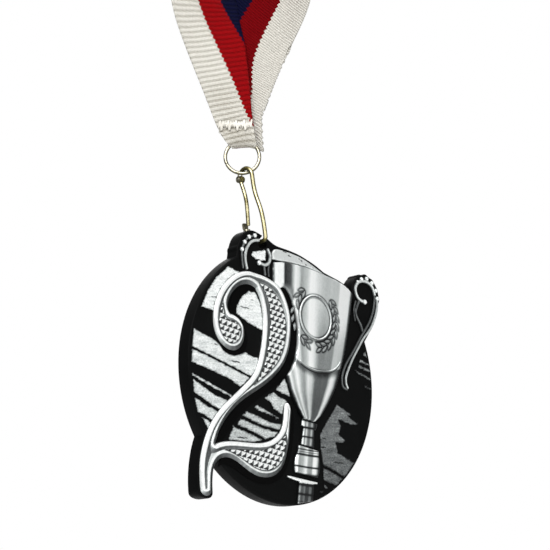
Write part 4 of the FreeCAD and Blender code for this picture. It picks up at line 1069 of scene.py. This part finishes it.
medallion = raised("cupMedallion", ringSides, 0.13, proudOfBowl(medallionSet["proud"], 0.3),
                   underBowl, medallionTone)
dressed(medallion, "medal", "cup_detail", cupSilver, "cup_medallion")

wreathSet = {"step": 0.12, "proud": 0.16, "soft": 0.16}
# leaves: painted light, lighter inside each leaf and more so where its edge faces the upper left
wreath = raised("cupWreath", wreathOutline, wreathSet["step"],
                proudOfBowl(wreathSet["proud"], wreathSet["soft"]), underBowl,
                lambda x, z, d, nx, nz: 0.46 + 0.34 * smoothStep(d, 0.1, 0.4) * (0.6 - 0.4 * nx + 0.3 * nz))
dressed(wreath, "medal", "cup_detail", cupSilver, "cup_wreath")

# waist band: a step in the bowl, with a painted highlight along its top edge, painted shade under it, and
# darker in its middle
waistSet = {"half": np.array([0, 0.55]), "step": 0.14, "proud": 0.2, "soft": 0.25}
waistLine = smoothLine([(3.9, 4.6), (6, 3.9), (9.5, 3.5), (13, 3.9), (16.4, 5.0), (18.4, 6.4), (20.0, 8.6)],
                       0.25)
waistSides = closedSides(np.concatenate([waistLine + waistSet["half"], (waistLine - waistSet["half"])[::-1]]))
waist = raised("cupWaistBand", waistSides, waistSet["step"], proudOfBowl(waistSet["proud"], waistSet["soft"]),
               underBowl, lambda x, z, d, nx, nz: 0.52 + 0.42 * np.clip(nz, -1, 1) * smoothStep(d, 0.5, 0.1)
               - 0.25 * smoothStep(x, 9, 13) * smoothStep(x, 17, 14))
dressed(waist, "medal", "cup_detail", cupSilver, "cup_band")

# handles: round silver strands and beads, half sunk in the black
rightStrands = [
    (0.34, 0.80, [(33.6, 31.2), (33.9, 28.8), (33.2, 25.2), (31.4, 21.2), (29.2, 18.2), (27.2, 14.6),
    (25.4, 11.2), (23.9, 7.6), (23.2, 4.8), (23.5, 3.2), (24.2, 2.3)]), (0.30, 0.42, [(32.5, 32.0),
    (32.7, 29.5), (32.1, 26.0), (30.7, 22.6), (28.9, 19.6), (26.9, 16.0), (24.9, 12.4), (23.0, 9.2),
    (21.9, 6.2), (21.7, 3.8), (22.5, 2.1), (24.0, 1.9)]), (0.42, 0.88, [(32.5, 32.2), (31.2, 34.2),
    (29.0, 35.0), (26.8, 34.7), (25.1, 33.6), (24.4, 31.9), (24.9, 30.2), (26.2, 29.1),
    (27.8, 28.8)]), (0.34, 0.40, [(26.4, 28.8), (25.6, 26.6), (25.3, 24.6), (26.2, 23.2),
    (27.6, 21.8), (28.5, 20.2)]), (0.22, 0.34, [(25.0, 28.2), (24.6, 26.0), (24.7, 24.0),
    (25.3, 22.4)])]
rightBeads = [
    (26.6, 35.2, 0.62), (28.7, 35.9, 0.66), (31.0, 35.3, 0.62), (32.9, 33.5, 0.62),
    (33.7, 31.3, 0.66), (28.6, 28.9, 0.72), (25.2, 34.0, 0.5)]
leftStrands = [
    (0.42, 0.82, [(-14.6, 34.2), (-16.6, 33.4), (-18.2, 31.6), (-18.9, 29.2), (-18.6, 26.8),
    (-17.9, 25.2)]), (0.28, 0.50, [(-16.1, 35.0), (-18.1, 34.0), (-19.6, 32.0), (-20.1, 29.6),
    (-19.9, 27.4), (-19.2, 25.0)]), (0.42, 0.80, [(-10.9, 32.6), (-9.8, 30.8), (-10.2, 28.9),
    (-11.6, 28.0), (-13.4, 28.1)]), (0.32, 0.50, [(-11.7, 28.2), (-11.4, 26.6), (-11.0, 25.4)]),
    (0.22, 0.42, [(-9.9, 28.6), (-9.9, 27.0), (-9.6, 25.4)])]
leftBeads = [
    (-20.2, 29.9, 0.6), (-19.5, 32.2, 0.6), (-18.1, 34.1, 0.62), (-16.1, 35.1, 0.62),
    (-13.6, 28.0, 0.66)]


handleSet = {"fatter": 1.3, "beadFatter": 1.15, "proud": 0.14, "beadLift": 0.1, "beadFoot": -0.3,
             "step": 0.22}


# handle: each strand a wire proud of the face, with a painted highlight along its crest by the square of its
# height, and each bead a half ball with a painted highlight on its top by its height
def makeHandle(name, strands, beads):
    shells, proud, lift, foot = [], handleSet["proud"], handleSet["beadLift"], handleSet["beadFoot"]
    for radius, light, points in strands:
        radius = radius * handleSet["fatter"]
        flatLine = smoothLine(points, handleSet["step"])
        line = onFace(flatLine[:, 0], flatLine[:, 1], np.full(len(flatLine), -proud)) / mm
        spots, faces, tone = roundWire(line, radius, np.array([0.0, 1.0, 0.0]), 12, cap=0.8)
        height = np.clip((discCentre[1] - proud - spots[:, 1]) / radius, 0, 1)
        shells.append((spots, faces, light * (0.22 + 0.78 * height ** 2)))
    curve = np.linspace(0, math.pi / 2, 8)
    for x, z, radius in beads:
        radius = radius * handleSet["beadFatter"]
        dome = np.stack([radius * np.maximum(np.cos(curve), 0.02), lift + radius * np.sin(curve)], -1)
        profile = np.concatenate([[(0.02, foot), (radius, foot)], dome])
        centre = onFace(np.array(x), np.array(z), np.array(0.0)) / mm
        spots, faces, tone = turnedPart(profile, centre, (0, -1, 0), 16)
        height = np.clip((discCentre[1] - spots[:, 1]) / (radius + lift), 0, 1)
        shells.append((spots, faces, 0.12 + 0.86 * height))
    return gathered(name, shells, sharp=0)


for name, node, strands, beads in (("handleRight", "handle_right", rightStrands, rightBeads),
                                   ("handleLeft", "handle_left", leftStrands, leftBeads)):
    dressed(makeHandle(name, strands, beads), "medal", "handle_silver", reliefSilver, node)
print("cup made")

# floor, light and camera
floorMesh = bpy.data.meshes.new("paleFloor")
reach, floorAt = 40, -0.42
floorMesh.from_pydata([(-reach, -reach, floorAt), (reach, -reach, floorAt), (reach, reach, floorAt),
                       (-reach, reach, floorAt)], [], [(0, 1, 2, 3)])
floor = placed("paleFloor", floorMesh)
floorFinish = Finish("paleFloorPaint")
speckle = floorFinish.noise(floorFinish.objectPlace(), 40)
floorFinish.join(floorFinish.ramp(speckle, [(0.3, (0.90, 0.90, 0.90)), (0.7, (0.94, 0.94, 0.94))]),
                 floorFinish.shader.inputs["Base Color"])
floorFinish.shader.inputs["Roughness"].default_value = 0.9
floorMesh.materials.append(floorFinish.material)

# world: white where it is seen, a softer room with darker sides for the light it gives
world = bpy.data.worlds.new("studio")
bpy.context.scene.world = world
world.use_nodes = True
wt = world.node_tree
seen = wt.nodes["Background"]
seen.inputs["Color"].default_value = (1, 1, 1, 1)
seen.inputs["Strength"].default_value = 1.0
room = wt.nodes.new("ShaderNodeBackground")
split = wt.nodes.new("ShaderNodeSeparateXYZ")
wt.links.new(wt.nodes.new("ShaderNodeTexCoord").outputs["Generated"], split.inputs["Vector"])
shade = wt.nodes.new("ShaderNodeValToRGB")
for element, (spot, value) in zip([shade.color_ramp.elements[0], shade.color_ramp.elements[1],
                                   shade.color_ramp.elements.new(0.5)],
                                  ((0.0, 0.10), (1.0, 0.42), (0.55, 0.14))):
    element.position = spot
    element.color = (value, value, value, 1)
half = wt.nodes.new("ShaderNodeMapRange")
half.inputs["From Min"].default_value = -1.0
wt.links.new(split.outputs["Z"], half.inputs["Value"])
wt.links.new(half.outputs["Result"], shade.inputs["Fac"])
wt.links.new(shade.outputs["Color"], room.inputs["Color"])
choose = wt.nodes.new("ShaderNodeMixShader")
wt.links.new(wt.nodes.new("ShaderNodeLightPath").outputs["Is Camera Ray"], choose.inputs["Fac"])
wt.links.new(room.outputs["Background"], choose.inputs[1])
wt.links.new(seen.outputs["Background"], choose.inputs[2])
wt.links.new(choose.outputs["Shader"], wt.nodes["World Output"].inputs["Surface"])

lookAt = Vector((0.006, -0.002, -0.165))
for name, place, size, power in (("keySoft", (-0.55, -0.35, 0.25), 0.40, 5.0),
                                 ("fillSoft", (0.25, -0.75, -0.25), 0.5, 1.6),
                                 ("topSoft", (0.1, -0.1, 0.5), 0.5, 1.6),
                                 ("backSoft", (0.4, 0.5, 0.1), 0.5, 2.0)):
    lamp = bpy.data.lights.new(name, "AREA")
    lamp.size = size
    lamp.energy = power
    light = placed(name, lamp)
    light.location = place
    light.rotation_euler = (lookAt - Vector(place)).to_track_quat("-Z", "Y").to_euler()

cameraData = bpy.data.cameras.new("viewCamera")
cameraData.lens = 109.04
cameraData.sensor_width = 36.0
cameraData.clip_start = 0.01
camera = placed("viewCamera", cameraData)
back = Vector((-0.6800, -0.6922, -0.2417)).normalized()
camera.rotation_mode = "QUATERNION"
camera.rotation_quaternion = (-back).to_track_quat("-Z", "Y")
camera.location = (-0.299592, -0.318261, -0.271886)
bpy.context.scene.camera = camera
bpy.context.scene.view_settings.view_transform = "Standard"
print("stage set")
